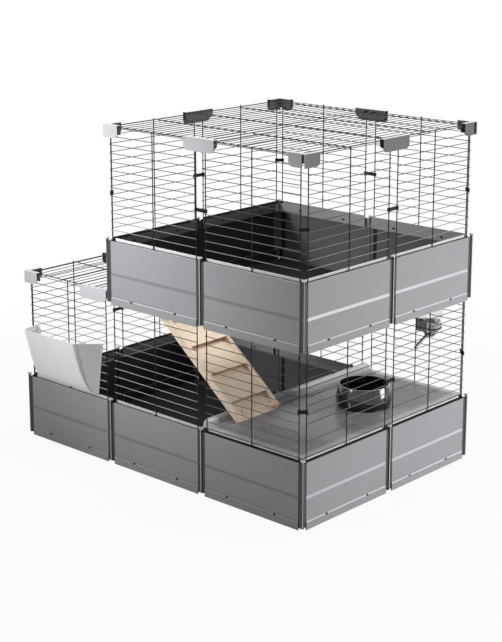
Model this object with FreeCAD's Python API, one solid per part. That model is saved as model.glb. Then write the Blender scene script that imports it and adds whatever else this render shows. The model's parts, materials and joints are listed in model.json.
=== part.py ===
import FreeCAD, Part
import math
import os

V = FreeCAD.Vector

# A two-storey modular cage for small animals. Plastic wall panels hang between joint posts, wire
# grilles stand in the panels' top channels, and the upper storey stands on the lower grilles.
# Sizes are in millimetres. X runs along the long side, Y towards the rear, Z up. The origin lies
# on the ground in the middle of the lower storey.

# Layout
MODULE = 354.0              # pitch of the joint posts
LOWER_MODULES = 3           # modules along X on the lower storey
UPPER_MODULES = 2           # modules along X on the upper storey, flush with the right end
LEVEL_PITCH = 465.0         # from the base of the lower storey to the base of the upper one
LEVEL_HEIGHT = 500.0        # from a storey's base to the top of its roof brackets
FIT = 0.3                   # clearance between pieces that are put together by hand

# Wall panels
PANEL_HEIGHT = 188.0
PANEL_WALL = 2.4
SKIRT_HEIGHT = 20.0         # plain strip along the foot, with the floor slots on its edge
SKIRT_PROUD = 1.2
SKIRT_SLOPE = 3.0           # height of the sloped edge above the strip
BAND_BOTTOM = 83.0          # smooth band across the middle of the outer face
BAND_HEIGHT = 8.5
BAND_DEPTH = 1.2            # the band leans in by this much towards its top
RAIL_CHANNEL_WIDTH = 6.0    # channel along the top edge that takes the grille
RAIL_CHANNEL_DEPTH = 31.6
OUTER_LIP_DROP = 8.0        # the channel's outer lip stands lower than the inner one
LIP_CHAMFER = 0.8
FOOT_CHANNEL_WIDTH = 9.6    # channel under the foot that takes the grille below
FLANGE_WIDTH = 8.0          # ledge that carries the floor sheets
FLANGE_THICKNESS = 2.0
CORNER_GAP = 0.6            # between panels that meet at a corner
SLOT_WIDTH = 9.0
SLOT_HEIGHT = 5.0
SLOT_OFFSET = 84.0          # from the panel's middle to each slot
INNER_SLOT_DROP = 23.0      # from the panel's top to the slots on its inner side

# Joint posts
POST_DIAMETER = 8.0
POST_LIFT = 7.0             # the posts stop short of the panels' lower edge
POST_HEAD_RISE = 1.6
POST_HEAD_OVERHANG = 2.6
POST_HEAD_THICKNESS = 3.6
BEAD_DIAMETER = 2.0         # bead along each panel end, held in the post's keyhole groove
BEAD_DEPTH = 1.8            # from the post's surface to the bead's axis
BEAD_DROP = 2.0             # from the outer lip's top to the bead's top
NECK_THICKNESS = 1.2
GROOVE_CLEARANCE = 0.2

# Wire grilles
UPRIGHT_DIAMETER = 3.0
ROW_DIAMETER = 2.0
RAIL_DIAMETER = 3.6
WELD = 0.3                  # depth of a weld where two wires cross
UPRIGHT_INSET = 17.0        # from a post's axis to the nearest upright
ROW_COUNT = 13
TOP_ROW_DROP = 5.0          # from the top of the uprights to the top row
ROW_TIP = 2.5               # how far the rows pass the end uprights
RAIL_DROP = 8.5             # from the panel's top to the bottom rail's axis

# Clips that tie neighbouring grilles together
CLIP_RISE = 120.0           # above the panel's top
CLIP_HEIGHT = 9.0
CLIP_WALL = 3.0
CLIP_BAR = 4.0

# Roof brackets, lids and the cradles that carry the lids
BRACKET_HEIGHT = 35.0
BRACKET_WALL = 2.4
BRACKET_PROUD = 1.4         # clear of the panels' skirt plane
BRACKET_LENGTH = 108.0
BRACKET_LEG = 55.0
BRACKET_CORNER_RADIUS = 14.0
BRACKET_INNER_HEIGHT = 26.0
BRACKET_SLOT_START = 4.0    # open slot beside the outer corner
BRACKET_SLOT_WIDTH = 9.0
LOW_BRACKET_GAP = 7.5       # from the upper storey's corner post axis to the bracket beside it
LID_DROP = 6.0              # from the brackets' top to the axis of the lid's long wires
LID_CROSS_DIAMETER = 3.0
LID_WIRE_DIAMETER = 2.0
LID_WIRE_GAPS = 13
LID_CROSS_GAPS = 4
LID_OVERHANG = 8.0          # how far the long wires pass the end cross wires
CRADLE_WALL = 2.1
CRADLE_BASE = 2.5
CRADLE_LENGTH = 7.5
CRADLE_RISE = 1.0           # the cheeks end just above the wire's axis

# Floors, platform
FLOOR_THICKNESS = 2.5
JOINER_WEB = 2.0
JOINER_FLANGE = 1.4
JOINER_WIDTH = 16.0
JOINER_PLAY = 0.1
PLATFORM_THICKNESS = 3.0
PLATFORM_RIB_PITCH = 9.5
PLATFORM_RIB_WIDTH = 4.5
PLATFORM_RIB_HEIGHT = 1.2
PLATFORM_RIM = 18.0         # smooth border round the ribs
NOTCH_PITCH = 9.5           # sawtooth edge along the walls
NOTCH_WIDTH = 4.5
NOTCH_DEPTH = 7.0
LIP_WIDTH = 12.0            # raised edge on the platform's open side
LIP_HEIGHT = 22.0
LIP_END_RADIUS = 20.0
PEG_DIAMETER = 7.0          # pegs on the lip, towards its rear end
PEG_HEIGHT = 8.0
PEG_INSET = 75.0            # from the platform's rear edge to the first peg
PEG_PITCH = 84.0

# Ramp
RAMP_ANGLE = 39.5
RAMP_FOOT_X = 226.0
RAMP_Y = -190.0             # middle of the ramp
RAMP_WIDTH = 160.0
RAMP_RAIL_THICKNESS = 10.0
RAMP_RAIL_HEIGHT = 21.0
RAMP_BOARD_THICKNESS = 3.0
RAMP_HOOK_REACH = 12.0
RAMP_HOOK_THICKNESS = 5.0
RAMP_GAP = 2.0              # between the ramp's top end and the edge of the opening
TREAD_COUNT = 5
TREAD_FOOT = 48.0           # the foot tread and the top tread are shorter than the others
TREAD_LAP = 2.0             # how far a tread runs on under the next one
TREAD_THICKNESS = 6.0
TREAD_RISE = 12.0
TREAD_START = 4.0
SCREW_HEAD_DIAMETER = 4.6
SCREW_HEAD_HEIGHT = 0.9
SCREW_DIAMETER = 2.2
SCREW_LENGTH = 9.0
SCREW_INSET = 14.0          # from the ramp's rails and from the foot tread's nose
OPENING_LENGTH = 180.0
OPENING_WIDTH = 190.0

# Hay feeder, outside the lower left front grille
FEEDER_X = -350.0
FEEDER_BACK_WIDTH = 292.0   # at the top
FEEDER_FRONT_WIDTH = 216.0
FEEDER_TAPER = 22.0         # each side draws in by this much towards the foot
FEEDER_DEPTH = 78.0
FEEDER_FOOT_DEPTH = 10.0
FEEDER_CURVE = 0.55         # how fast the front swings out above the foot
FEEDER_STEPS = 6
FEEDER_CORNER = 24.0        # radius of the front corners at the top
FEEDER_FOOT_RISE = 7.0      # from the panel's top to the feeder's foot
FEEDER_BACK_RISE = 13.2     # from the underside of the hooks to the back's top edge
FEEDER_FRONT_RISE = 10.0    # the front edge stands higher than the back
FEEDER_WALL = 2.5
FEEDER_STANDOFF = 0.5       # in front of the panels' post line
FEEDER_FLANGE = 19.0        # the back edges turn in by this much
FEEDER_HOOK_X = 133.0
FEEDER_HOOK_WIDTH = 10.0
FEEDER_HOOK_LIP = 7.0
FEEDER_HOOK_ROW = 6         # grille row that the hooks hang on

# Bowl
BOWL_X = 378.0
BOWL_Y = 82.0
BOWL_DIAMETER = 156.0
BOWL_FOOT_DIAMETER = 148.0
BOWL_MOUTH_DIAMETER = 140.0
BOWL_HEIGHT = 60.0
BOWL_BELLY = 22.0           # height of the widest ring
BOWL_WALL = 3.5
BOWL_FLOOR = 10.0
BOWL_NOTCH_WIDTH = 34.0
BOWL_NOTCH_HEIGHT = 7.0
BOWL_NOTCH_TURN = 78.0      # from the front towards the right wall
BOWL_WELL_DIAMETER = 98.0
BOWL_SWELL = 0.75           # fullness of the side above the widest ring
BOWL_FOOT_SWELL = 0.75      # and below it

# Water bottle, outside the rear grille
BOTTLE_X = 371.0
BOTTLE_Y = 395.5
BOTTLE_DIAMETER = 74.0
BOTTLE_WALL = 1.6
BOTTLE_LENGTH = 108.0
BOTTLE_SHOULDER = 13.0
NECK_DIAMETER = 36.0
CAP_DIAMETER = 60.0
CAP_HEIGHT = 17.0
CAP_FLANGE_DIAMETER = 68.0
CAP_FLANGE_THICKNESS = 3.0
CAP_CONE_HEIGHT = 25.0
CAP_NOSE_DIAMETER = 26.0
CAP_WALL = 2.5
SPOUT_DIAMETER = 9.0
SPOUT_BORE = 7.6
SPOUT_LIP_BORE = 6.0
SPOUT_LIP = 1.5
SPOUT_SLOPE = 25.0          # below the horizontal
SPOUT_REACH = 27.0          # how far the tip passes the rear grille's rows
SPOUT_ROW = 5               # grille row that the spout lies over
BALL_DIAMETER = 6.8
HOLDER_PLATE = 2.5
HOLDER_PLATE_WIDTH = 40.0
HOLDER_RING_WIDTH = 6.0
HOLDER_ROW = 8              # grille row that the holder hangs on
HOLDER_HOOK_X = 10.0        # from the holder's middle to each hook, clear of the grille's upright
HOLDER_HOOK_WIDTH = 8.0
HOLDER_HOOK_LIP = 6.0

# Panel section, measured outwards from the post line
SKIRT_OUT = PANEL_WALL / 2 + SKIRT_PROUD
SKIRT_IN = SKIRT_OUT - PANEL_WALL
FOOT_IN = SKIRT_IN - FOOT_CHANNEL_WIDTH
FOOT_BACK = FOOT_IN - PANEL_WALL
RAIL_OUT = -PANEL_WALL / 2
RAIL_IN = RAIL_OUT - RAIL_CHANNEL_WIDTH
RAIL_BACK = RAIL_IN - PANEL_WALL
PANEL_END = MODULE / 2 + FOOT_BACK - CORNER_GAP
FLANGE_BACK = FOOT_BACK - FLANGE_WIDTH

# Grille levels, measured from a storey's base
WIRE_Y = (RAIL_OUT + RAIL_IN) / 2
ROW_Y = WIRE_Y + (UPRIGHT_DIAMETER + ROW_DIAMETER) / 2 - WELD
UPRIGHT_X = MODULE / 2 - UPRIGHT_INSET
WIRE_TOP = LEVEL_HEIGHT - BRACKET_WALL - FIT
ROW_PITCH = (WIRE_TOP - TOP_ROW_DROP - PANEL_HEIGHT) / ROW_COUNT
FOOT_CHANNEL_TOP = WIRE_TOP + FIT - LEVEL_PITCH

# Bracket and lid levels
BRACKET_OUT = SKIRT_OUT + BRACKET_PROUD
BRACKET_IN = RAIL_BACK
LID_LEVEL = LEVEL_HEIGHT - LID_DROP
CRADLE_BORE = LID_CROSS_DIAMETER / 2 + FIT
LID_INSET = CRADLE_BORE + CRADLE_WALL + FIT - BRACKET_IN
LID_WIDTH = MODULE - 2 * LID_INSET
LID_LENGTH = 2 * MODULE - 2 * LID_INSET

# Outline of the two storeys
HALF_DEPTH = MODULE
LOWER_LEFT = -LOWER_MODULES * MODULE / 2
LOWER_RIGHT = LOWER_MODULES * MODULE / 2
UPPER_LEFT = LOWER_RIGHT - UPPER_MODULES * MODULE

# Floors and platform
FLOOR_TOP = FLANGE_THICKNESS + FLOOR_THICKNESS
FLOOR_EDGE = FOOT_BACK - FIT
PLATFORM_EDGE = RAIL_IN - FIT
PLATFORM_TOP = PANEL_HEIGHT + PLATFORM_THICKNESS + PLATFORM_RIB_HEIGHT
PLATFORM_LEFT = LOWER_RIGHT - MODULE

# Ramp line: from the foot's lower edge up to the edge of the opening in the upper floor
RAMP_SLOPE = math.tan(math.radians(RAMP_ANGLE))
RAMP_FOOT_Z = PLATFORM_TOP + FIT
UPPER_FLOOR_TOP = LEVEL_PITCH + FLOOR_TOP
RAMP_RAIL_RISE = RAMP_RAIL_HEIGHT / math.cos(math.radians(RAMP_ANGLE))
RAMP_CLIMB = UPPER_FLOOR_TOP - RAMP_RAIL_RISE - RAMP_FOOT_Z
RAMP_LENGTH = RAMP_CLIMB / math.sin(math.radians(RAMP_ANGLE))
RAMP_END_X = RAMP_FOOT_X - RAMP_CLIMB / RAMP_SLOPE
TREAD_PITCH = (RAMP_LENGTH - TREAD_START - 2 * TREAD_FOOT) / (TREAD_COUNT - 2)
OPENING_LEFT = RAMP_END_X - RAMP_GAP
RAMP_HOOK_LOW = UPPER_FLOOR_TOP + FIT
RAMP_HINGE_X = OPENING_LEFT - RAMP_HOOK_REACH
RAMP_HINGE_Z = RAMP_HOOK_LOW + RAMP_HOOK_THICKNESS / 2

# Hay feeder levels, from the grille row that it hangs on
FEEDER_HOOK_Z = PANEL_HEIGHT + FEEDER_HOOK_ROW * ROW_PITCH + ROW_DIAMETER / 2 + FIT
FEEDER_BOTTOM = PANEL_HEIGHT + FEEDER_FOOT_RISE
FEEDER_BACK_TOP = FEEDER_HOOK_Z + FEEDER_BACK_RISE
FEEDER_FRONT_TOP = FEEDER_BACK_TOP + FEEDER_FRONT_RISE

# Water bottle levels, from the spout that lies on a grille row
SPOUT_DROP = math.tan(math.radians(SPOUT_SLOPE))
REAR_ROW_Y = HALF_DEPTH + ROW_Y
SPOUT_OVER_ROW = (PANEL_HEIGHT + SPOUT_ROW * ROW_PITCH + ROW_DIAMETER / 2 + FIT
                  + SPOUT_DIAMETER / 2 / math.cos(math.radians(SPOUT_SLOPE)))
SPOUT_TIP = V(BOTTLE_X, REAR_ROW_Y - SPOUT_REACH, SPOUT_OVER_ROW - SPOUT_REACH * SPOUT_DROP)
SPOUT_AXIS = V(0, math.cos(math.radians(SPOUT_SLOPE)), math.sin(math.radians(SPOUT_SLOPE)))
SPOUT_ROOT = SPOUT_TIP + SPOUT_AXIS * ((BOTTLE_Y - SPOUT_TIP.y) / SPOUT_AXIS.y)
CAP_BOTTOM = SPOUT_ROOT.z - CAP_CONE_HEIGHT / 2
CAP_FLANGE_Z = CAP_BOTTOM + CAP_CONE_HEIGHT
CAP_TOP = CAP_FLANGE_Z + CAP_FLANGE_THICKNESS + CAP_HEIGHT


def box(x, y, z):
    """A box from three (low, high) pairs."""
    return Part.makeBox(x[1] - x[0], y[1] - y[0], z[1] - z[0], V(x[0], y[0], z[0]))


def prism(points, along):
    """A prism with the outline given by points, pushed along a vector."""
    outline = Part.makePolygon([V(*p) for p in points] + [V(*points[0])])
    return Part.Face(outline).extrude(V(*along))


def rod(diameter, start, end):
    """A round rod between two points."""
    run = end - start
    return Part.makeCylinder(diameter / 2, run.Length, start, run)


def join(shapes):
    """One solid from shapes that touch or cross."""
    fused = shapes[0].multiFuse(shapes[1:]).removeSplitter()
    return fused.Solids[0]


def turned(profile):
    """A solid of revolution about Z from (radius, height) points."""
    outline = Part.makePolygon([V(r, 0, z) for r, z in profile + profile[:1]])
    return Part.Face(outline).revolve(V(0, 0, 0), V(0, 0, 1), 360)


def placed(shape, x, y, z, angle=0.0):
    """A copy of shape, turned about Z and moved."""
    copy = shape.copy()
    copy.rotate(V(0, 0, 0), V(0, 0, 1), angle)
    copy.translate(V(x, y, z))
    return copy


def column_name(index, columns):
    """Name of a module along a front or rear wall."""
    if index == 0:
        return "left"
    if index == columns - 1:
        return "right"
    return "middle" if columns == 3 else f"middle_{index}"


def wall_places(left, right):
    """Name, middle and turn of each module along the four walls of a storey."""
    columns = round((right - left) / MODULE)
    places = []
    for index in range(columns):
        name = column_name(index, columns)
        middle = left + (index + 0.5) * MODULE
        places.append(("front_" + name, middle, -HALF_DEPTH, 180.0))
        places.append(("rear_" + name, middle, HALF_DEPTH, 0.0))
    for name, middle in (("front", -MODULE / 2), ("rear", MODULE / 2)):
        places.append(("left_" + name, left, middle, 90.0))
        places.append(("right_" + name, right, middle, -90.0))
    return places


def post_places(left, right):
    """Axis of each post of a storey, the directions of its two panels and their inner sides."""
    columns = round((right - left) / MODULE)
    places = []
    for index in range(columns + 1):
        x = left + index * MODULE
        for y in (-HALF_DEPTH, HALF_DEPTH):
            inward = V(0, -math.copysign(1, y), 0)
            if 0 < index < columns:
                places.append((x, y, (V(1, 0, 0), V(-1, 0, 0)), (inward, inward)))
            else:
                along = V(1, 0, 0) if index == 0 else V(-1, 0, 0)
                places.append((x, y, (along, inward), (inward, along)))
    for x, inward in ((left, V(1, 0, 0)), (right, V(-1, 0, 0))):
        places.append((x, 0.0, (V(0, 1, 0), V(0, -1, 0)), (inward, inward)))
    return places


def wall_panel():
    """Wall panel with its middle on the post line, the outer face towards +Y."""
    top = PANEL_HEIGHT
    outer_top = top - OUTER_LIP_DROP
    face = PANEL_WALL / 2
    band_top = BAND_BOTTOM + BAND_HEIGHT
    channel_floor = top - RAIL_CHANNEL_DEPTH
    section = [
        (SKIRT_OUT, 0), (SKIRT_OUT, SKIRT_HEIGHT), (face, SKIRT_HEIGHT + SKIRT_SLOPE),
        (face, BAND_BOTTOM), (face - BAND_DEPTH, band_top), (face, band_top),
        (face, outer_top - LIP_CHAMFER), (face - LIP_CHAMFER, outer_top),
        (RAIL_OUT, outer_top), (RAIL_OUT, channel_floor), (RAIL_IN, channel_floor),
        (RAIL_IN, top - LIP_CHAMFER), (RAIL_IN - LIP_CHAMFER, top),
        (RAIL_BACK + LIP_CHAMFER, top), (RAIL_BACK, top - LIP_CHAMFER),
        (RAIL_BACK, channel_floor - PANEL_WALL), (-face, channel_floor - PANEL_WALL),
        (-face, FOOT_CHANNEL_TOP + PANEL_WALL), (FOOT_BACK, FOOT_CHANNEL_TOP + PANEL_WALL),
        (FOOT_BACK, 0), (FOOT_IN, 0), (FOOT_IN, FOOT_CHANNEL_TOP), (SKIRT_IN, FOOT_CHANNEL_TOP),
        (SKIRT_IN, 0)]
    shell = prism([(-PANEL_END, y, z) for y, z in section], (2 * PANEL_END, 0, 0))
    pieces = [shell]
    ledge_end = MODULE / 2 + FLANGE_BACK - CORNER_GAP
    pieces.append(box((-ledge_end, ledge_end), (FLANGE_BACK, FOOT_IN), (0, FLANGE_THICKNESS)))
    bead_x = MODULE / 2 - POST_DIAMETER / 2 + BEAD_DEPTH
    bead_top = outer_top - BEAD_DROP
    neck = NECK_THICKNESS / 2
    for side in (-1, 1):
        pieces.append(rod(BEAD_DIAMETER, V(side * bead_x, 0, POST_LIFT), V(side * bead_x, 0, bead_top)))
        ends = sorted((side * (PANEL_END - PANEL_WALL), side * bead_x))
        pieces.append(box(ends, (-neck, neck), (POST_LIFT, bead_top)))
    panel = join(pieces)
    cuts = []
    for side in (-1, 1):
        span = (side * SLOT_OFFSET - SLOT_WIDTH / 2, side * SLOT_OFFSET + SLOT_WIDTH / 2)
        low = SKIRT_HEIGHT - SLOT_HEIGHT / 2
        cuts.append(box(span, (SKIRT_IN - FIT, SKIRT_OUT + FIT), (low, low + SLOT_HEIGHT)))
        low = top - INNER_SLOT_DROP - SLOT_HEIGHT / 2
        cuts.append(box(span, (RAIL_BACK - FIT, RAIL_IN + FIT), (low, low + SLOT_HEIGHT)))
    return panel.cut(cuts).Solids[0]


def joint_post(arms):
    """Post with a keyhole groove for the bead of each panel, and a domed head."""
    groove_top = PANEL_HEIGHT - OUTER_LIP_DROP - BEAD_DROP + FIT
    radius = POST_DIAMETER / 2
    body = rod(POST_DIAMETER, V(0, 0, POST_LIFT), V(0, 0, PANEL_HEIGHT))
    for arm in arms:
        axis = arm * (radius - BEAD_DEPTH)
        hole = BEAD_DIAMETER + 2 * GROOVE_CLEARANCE
        keyhole = rod(hole, axis + V(0, 0, POST_LIFT - 1), axis + V(0, 0, groove_top))
        half = NECK_THICKNESS / 2 + GROOVE_CLEARANCE
        mouth = box((radius - BEAD_DEPTH, radius + 1), (-half, half), (POST_LIFT - 1, groove_top))
        mouth.rotate(V(0, 0, 0), V(0, 0, 1), math.degrees(math.atan2(arm.y, arm.x)))
        body = body.cut([keyhole, mouth])
    head_radius = radius + POST_HEAD_OVERHANG
    head_top = PANEL_HEIGHT + POST_HEAD_RISE
    head = Part.makeCylinder(head_radius, POST_HEAD_THICKNESS, V(0, 0, head_top - POST_HEAD_THICKNESS))
    rim = [edge for edge in head.Edges if abs(edge.CenterOfMass.z - head_top) < FIT and edge.Closed]
    head = head.makeFillet(POST_HEAD_THICKNESS / 2, rim)
    return join([body, head])


def grille():
    """Welded wire grille for one module, standing in a panel's top channel."""
    foot = PANEL_HEIGHT - RAIL_CHANNEL_DEPTH + FIT
    wires = []
    for x in (-UPRIGHT_X, 0, UPRIGHT_X):
        wires.append(rod(UPRIGHT_DIAMETER, V(x, WIRE_Y, foot), V(x, WIRE_Y, WIRE_TOP)))
    tip = UPRIGHT_X + ROW_TIP
    rail_z = PANEL_HEIGHT - RAIL_DROP
    wires.append(rod(RAIL_DIAMETER, V(-tip, WIRE_Y, rail_z), V(tip, WIRE_Y, rail_z)))
    for row in range(1, ROW_COUNT + 1):
        z = PANEL_HEIGHT + row * ROW_PITCH
        wires.append(rod(ROW_DIAMETER, V(-tip, ROW_Y, z), V(tip, ROW_Y, z)))
    return join(wires)


def grille_clip(arms, sides):
    """Clip that ties together the end uprights of the two grilles beside a post."""
    low = PANEL_HEIGHT + CLIP_RISE
    seats = [arm * UPRIGHT_INSET - side * WIRE_Y for arm, side in zip(arms, sides)]
    ring = UPRIGHT_DIAMETER + 2 * GROOVE_CLEARANCE + 2 * CLIP_WALL
    solids = [rod(ring, seat + V(0, 0, low), seat + V(0, 0, low + CLIP_HEIGHT)) for seat in seats]
    run = seats[1] - seats[0]
    bar = box((0, run.Length), (-CLIP_BAR / 2, CLIP_BAR / 2), (low, low + CLIP_HEIGHT))
    bar.rotate(V(0, 0, 0), V(0, 0, 1), math.degrees(math.atan2(run.y, run.x)))
    bar.translate(seats[0])
    clip = join(solids + [bar])
    hole = UPRIGHT_DIAMETER + 2 * GROOVE_CLEARANCE
    bores = [rod(hole, seat + V(0, 0, low - 1), seat + V(0, 0, low + CLIP_HEIGHT + 1)) for seat in seats]
    return clip.cut(bores).Solids[0]


def rounded_plate(x, y, z):
    """Upright plate in the XZ plane with rounded lower corners."""
    plate = box(x, y, z)
    corners = [edge for edge in plate.Edges
               if abs(edge.CenterOfMass.z - z[0]) < FIT and abs(edge.BoundBox.YLength - (y[1] - y[0])) < FIT]
    return plate.makeFillet(BRACKET_CORNER_RADIUS, corners)


def straight_bracket():
    """Cap over the tops of two grilles in line, its outer face towards +Y."""
    half = BRACKET_LENGTH / 2
    top = LEVEL_HEIGHT
    outer = (BRACKET_OUT - BRACKET_WALL, BRACKET_OUT)
    inner = (BRACKET_IN, BRACKET_IN + BRACKET_WALL)
    front = rounded_plate((-half, half), outer, (top - BRACKET_HEIGHT, top))
    cover = box((-half, half), (BRACKET_IN, BRACKET_OUT), (top - BRACKET_WALL, top))
    back = rounded_plate((-half, half), inner, (top - BRACKET_INNER_HEIGHT, top))
    return join([front, cover, back])


def corner_bracket():
    """Cap over two grilles at a corner on the post axis, the legs along -X and -Y."""
    top = LEVEL_HEIGHT
    low = top - BRACKET_HEIGHT
    reach = BRACKET_LEG - BRACKET_OUT
    leg = rounded_plate((-reach, BRACKET_OUT), (BRACKET_IN, BRACKET_OUT), (low, top))
    inner = BRACKET_OUT - BRACKET_WALL
    hollow = box((-BRACKET_LEG, inner), (BRACKET_IN + BRACKET_WALL, inner), (low - 1, top - BRACKET_WALL))
    undercut = box((-BRACKET_LEG, BRACKET_IN), (BRACKET_IN - 1, BRACKET_IN + BRACKET_WALL),
                   (low - 1, top - BRACKET_INNER_HEIGHT))
    square_end = box((0, BRACKET_OUT), (BRACKET_IN, BRACKET_OUT), (low, low + BRACKET_CORNER_RADIUS))
    square_leg = leg.fuse(square_end)
    block = square_leg.fuse(mirrored(square_leg)).removeSplitter()
    slot_end = BRACKET_OUT - BRACKET_SLOT_START
    slot = box((inner - FIT, BRACKET_OUT + 1), (slot_end - BRACKET_SLOT_WIDTH, slot_end),
               (low - 1, top - BRACKET_WALL))
    return block.cut([hollow, mirrored(hollow), undercut, mirrored(undercut), slot]).Solids[0]


def mirrored(shape):
    """The shape with X and Y exchanged."""
    return shape.mirror(V(0, 0, 0), V(1, -1, 0))


def roof_lid():
    """Wire lid over one row of modules: long wires along Y on top of the cross wires."""
    half_x = LID_WIDTH / 2
    half_y = LID_LENGTH / 2
    cross_y = half_y - LID_OVERHANG
    cross_z = LID_LEVEL - LID_CROSS_DIAMETER + WELD
    wires = []
    for index in range(LID_CROSS_GAPS + 1):
        y = -cross_y + 2 * cross_y * index / LID_CROSS_GAPS
        wires.append(rod(LID_CROSS_DIAMETER, V(-half_x, y, cross_z), V(half_x, y, cross_z)))
    for index in range(LID_WIRE_GAPS + 1):
        x = -half_x + LID_WIDTH * index / LID_WIRE_GAPS
        edge = index in (0, LID_WIRE_GAPS)
        diameter = LID_CROSS_DIAMETER if edge else LID_WIRE_DIAMETER
        z = cross_z + (LID_CROSS_DIAMETER + diameter) / 2 - WELD
        wires.append(rod(diameter, V(x, -half_y, z), V(x, half_y, z)))
    return join(wires)


def lid_cradle():
    """Cradle on a front bracket's inner face that carries the end of a lid's edge wire."""
    clear = CRADLE_BORE
    outer = clear + CRADLE_WALL
    start = HALF_DEPTH + BRACKET_IN
    run = (-start, -start + CRADLE_LENGTH)
    bottom = LID_LEVEL - clear - CRADLE_BASE
    block = box((-outer, outer), run, (bottom, LID_LEVEL + CRADLE_RISE))
    slot = box((-clear, clear), (run[0] - 1, run[1] + 1), (LID_LEVEL - clear, LID_LEVEL + CRADLE_RISE + 1))
    return block.cut(slot).Solids[0]


def floor_sheet(left, right):
    """Floor sheet between two X positions, lying on the panels' ledges."""
    edge = HALF_DEPTH + FLOOR_EDGE
    return box((left, right), (-edge, edge), (FLANGE_THICKNESS, FLOOR_TOP))


def floor_sheets(left, right):
    """The sheets of one storey, one for each row of modules, with room for the joiners."""
    columns = round((right - left) / MODULE)
    slack = JOINER_WEB / 2 + FIT
    sheets = []
    for index in range(columns):
        start = left - FLOOR_EDGE if index == 0 else left + index * MODULE + slack
        end = right + FLOOR_EDGE if index == columns - 1 else left + (index + 1) * MODULE - slack
        sheets.append(floor_sheet(start, end))
    return sheets


def floor_joiner():
    """Strip of H section that joins two floor sheets at X = 0."""
    end = HALF_DEPTH + FLANGE_BACK - CORNER_GAP
    low = FLANGE_THICKNESS - JOINER_FLANGE - JOINER_PLAY
    high = FLOOR_TOP + JOINER_FLANGE + JOINER_PLAY
    half = JOINER_WIDTH / 2
    web = box((-JOINER_WEB / 2, JOINER_WEB / 2), (-end, end), (low, high))
    under = box((-half, half), (-end, end), (low, low + JOINER_FLANGE))
    over = box((-half, half), (-end, end), (high - JOINER_FLANGE, high))
    return join([web, under, over])


def notched_edge(start, end, inward):
    """Points of a straight platform edge with its sawtooth notches."""
    along = (end - start).normalize()
    length = (end - start).Length
    count = int(length // NOTCH_PITCH) - 1
    first = (length - (count - 1) * NOTCH_PITCH - NOTCH_WIDTH) / 2
    points = [start]
    for index in range(count):
        mouth = start + along * (first + index * NOTCH_PITCH)
        points.append(mouth)
        points.append(mouth + along * (NOTCH_WIDTH / 2) + inward * NOTCH_DEPTH)
        points.append(mouth + along * NOTCH_WIDTH)
    return points


def platform_lip(left, half, plate_top):
    """Rolled lip along the platform's open side, round at both ends, with its pegs."""
    top = plate_top + LIP_HEIGHT
    roll = LIP_WIDTH / 2
    ends = box((left, left + LIP_WIDTH), (-half, half), (PANEL_HEIGHT, top))
    upper = [edge for edge in ends.Edges
             if abs(edge.CenterOfMass.z - top) < FIT and abs(edge.BoundBox.XLength - LIP_WIDTH) < FIT]
    ends = ends.makeFillet(LIP_END_RADIUS, upper)
    axis = top - roll
    bar = box((left, left + LIP_WIDTH), (-half, half), (PANEL_HEIGHT, axis))
    bar = bar.fuse(rod(LIP_WIDTH, V(left + roll, -half, axis), V(left + roll, half, axis)))
    pieces = [bar.common(ends)]
    for index in range(2):
        seat = V(left + roll, half - PEG_INSET - index * PEG_PITCH, axis)
        pieces.append(rod(PEG_DIAMETER, seat, seat + V(0, 0, roll + PEG_HEIGHT)))
    return pieces


def platform():
    """Ribbed half floor on the panels' top lips, with a raised rolled lip on its open side."""
    left = PLATFORM_LEFT
    right = LOWER_RIGHT + PLATFORM_EDGE
    half = HALF_DEPTH + PLATFORM_EDGE
    plate_top = PANEL_HEIGHT + PLATFORM_THICKNESS
    bare = left + LIP_WIDTH + NOTCH_WIDTH
    corners = [V(bare, -half, 0), V(right, -half, 0), V(right, half, 0), V(bare, half, 0)]
    outline = [V(left, half, 0), V(left, -half, 0)]
    for index, inward in enumerate((V(0, 1, 0), V(-1, 0, 0), V(0, -1, 0))):
        outline += notched_edge(corners[index], corners[index + 1], inward)
    plate = prism([(p.x, p.y, PANEL_HEIGHT) for p in outline + corners[3:]], (0, 0, PLATFORM_THICKNESS))
    pieces = [plate] + platform_lip(left, half, plate_top)
    ribs_start = left + LIP_WIDTH + PLATFORM_RIM
    count = int((right - PLATFORM_RIM - ribs_start) // PLATFORM_RIB_PITCH)
    for index in range(count + 1):
        x = ribs_start + index * PLATFORM_RIB_PITCH
        span = (x - PLATFORM_RIB_WIDTH / 2, x + PLATFORM_RIB_WIDTH / 2)
        pieces.append(box(span, (PLATFORM_RIM - half, half - PLATFORM_RIM), (plate_top, PLATFORM_TOP)))
    return join(pieces)


def ramp_point(along, up):
    """XZ point of the ramp, from the foot's lower edge: along the slope, and square to it."""
    angle = math.radians(RAMP_ANGLE)
    x = RAMP_FOOT_X - along * math.cos(angle) + up * math.sin(angle)
    z = RAMP_FOOT_Z + along * math.sin(angle) + up * math.cos(angle)
    return x, z


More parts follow.
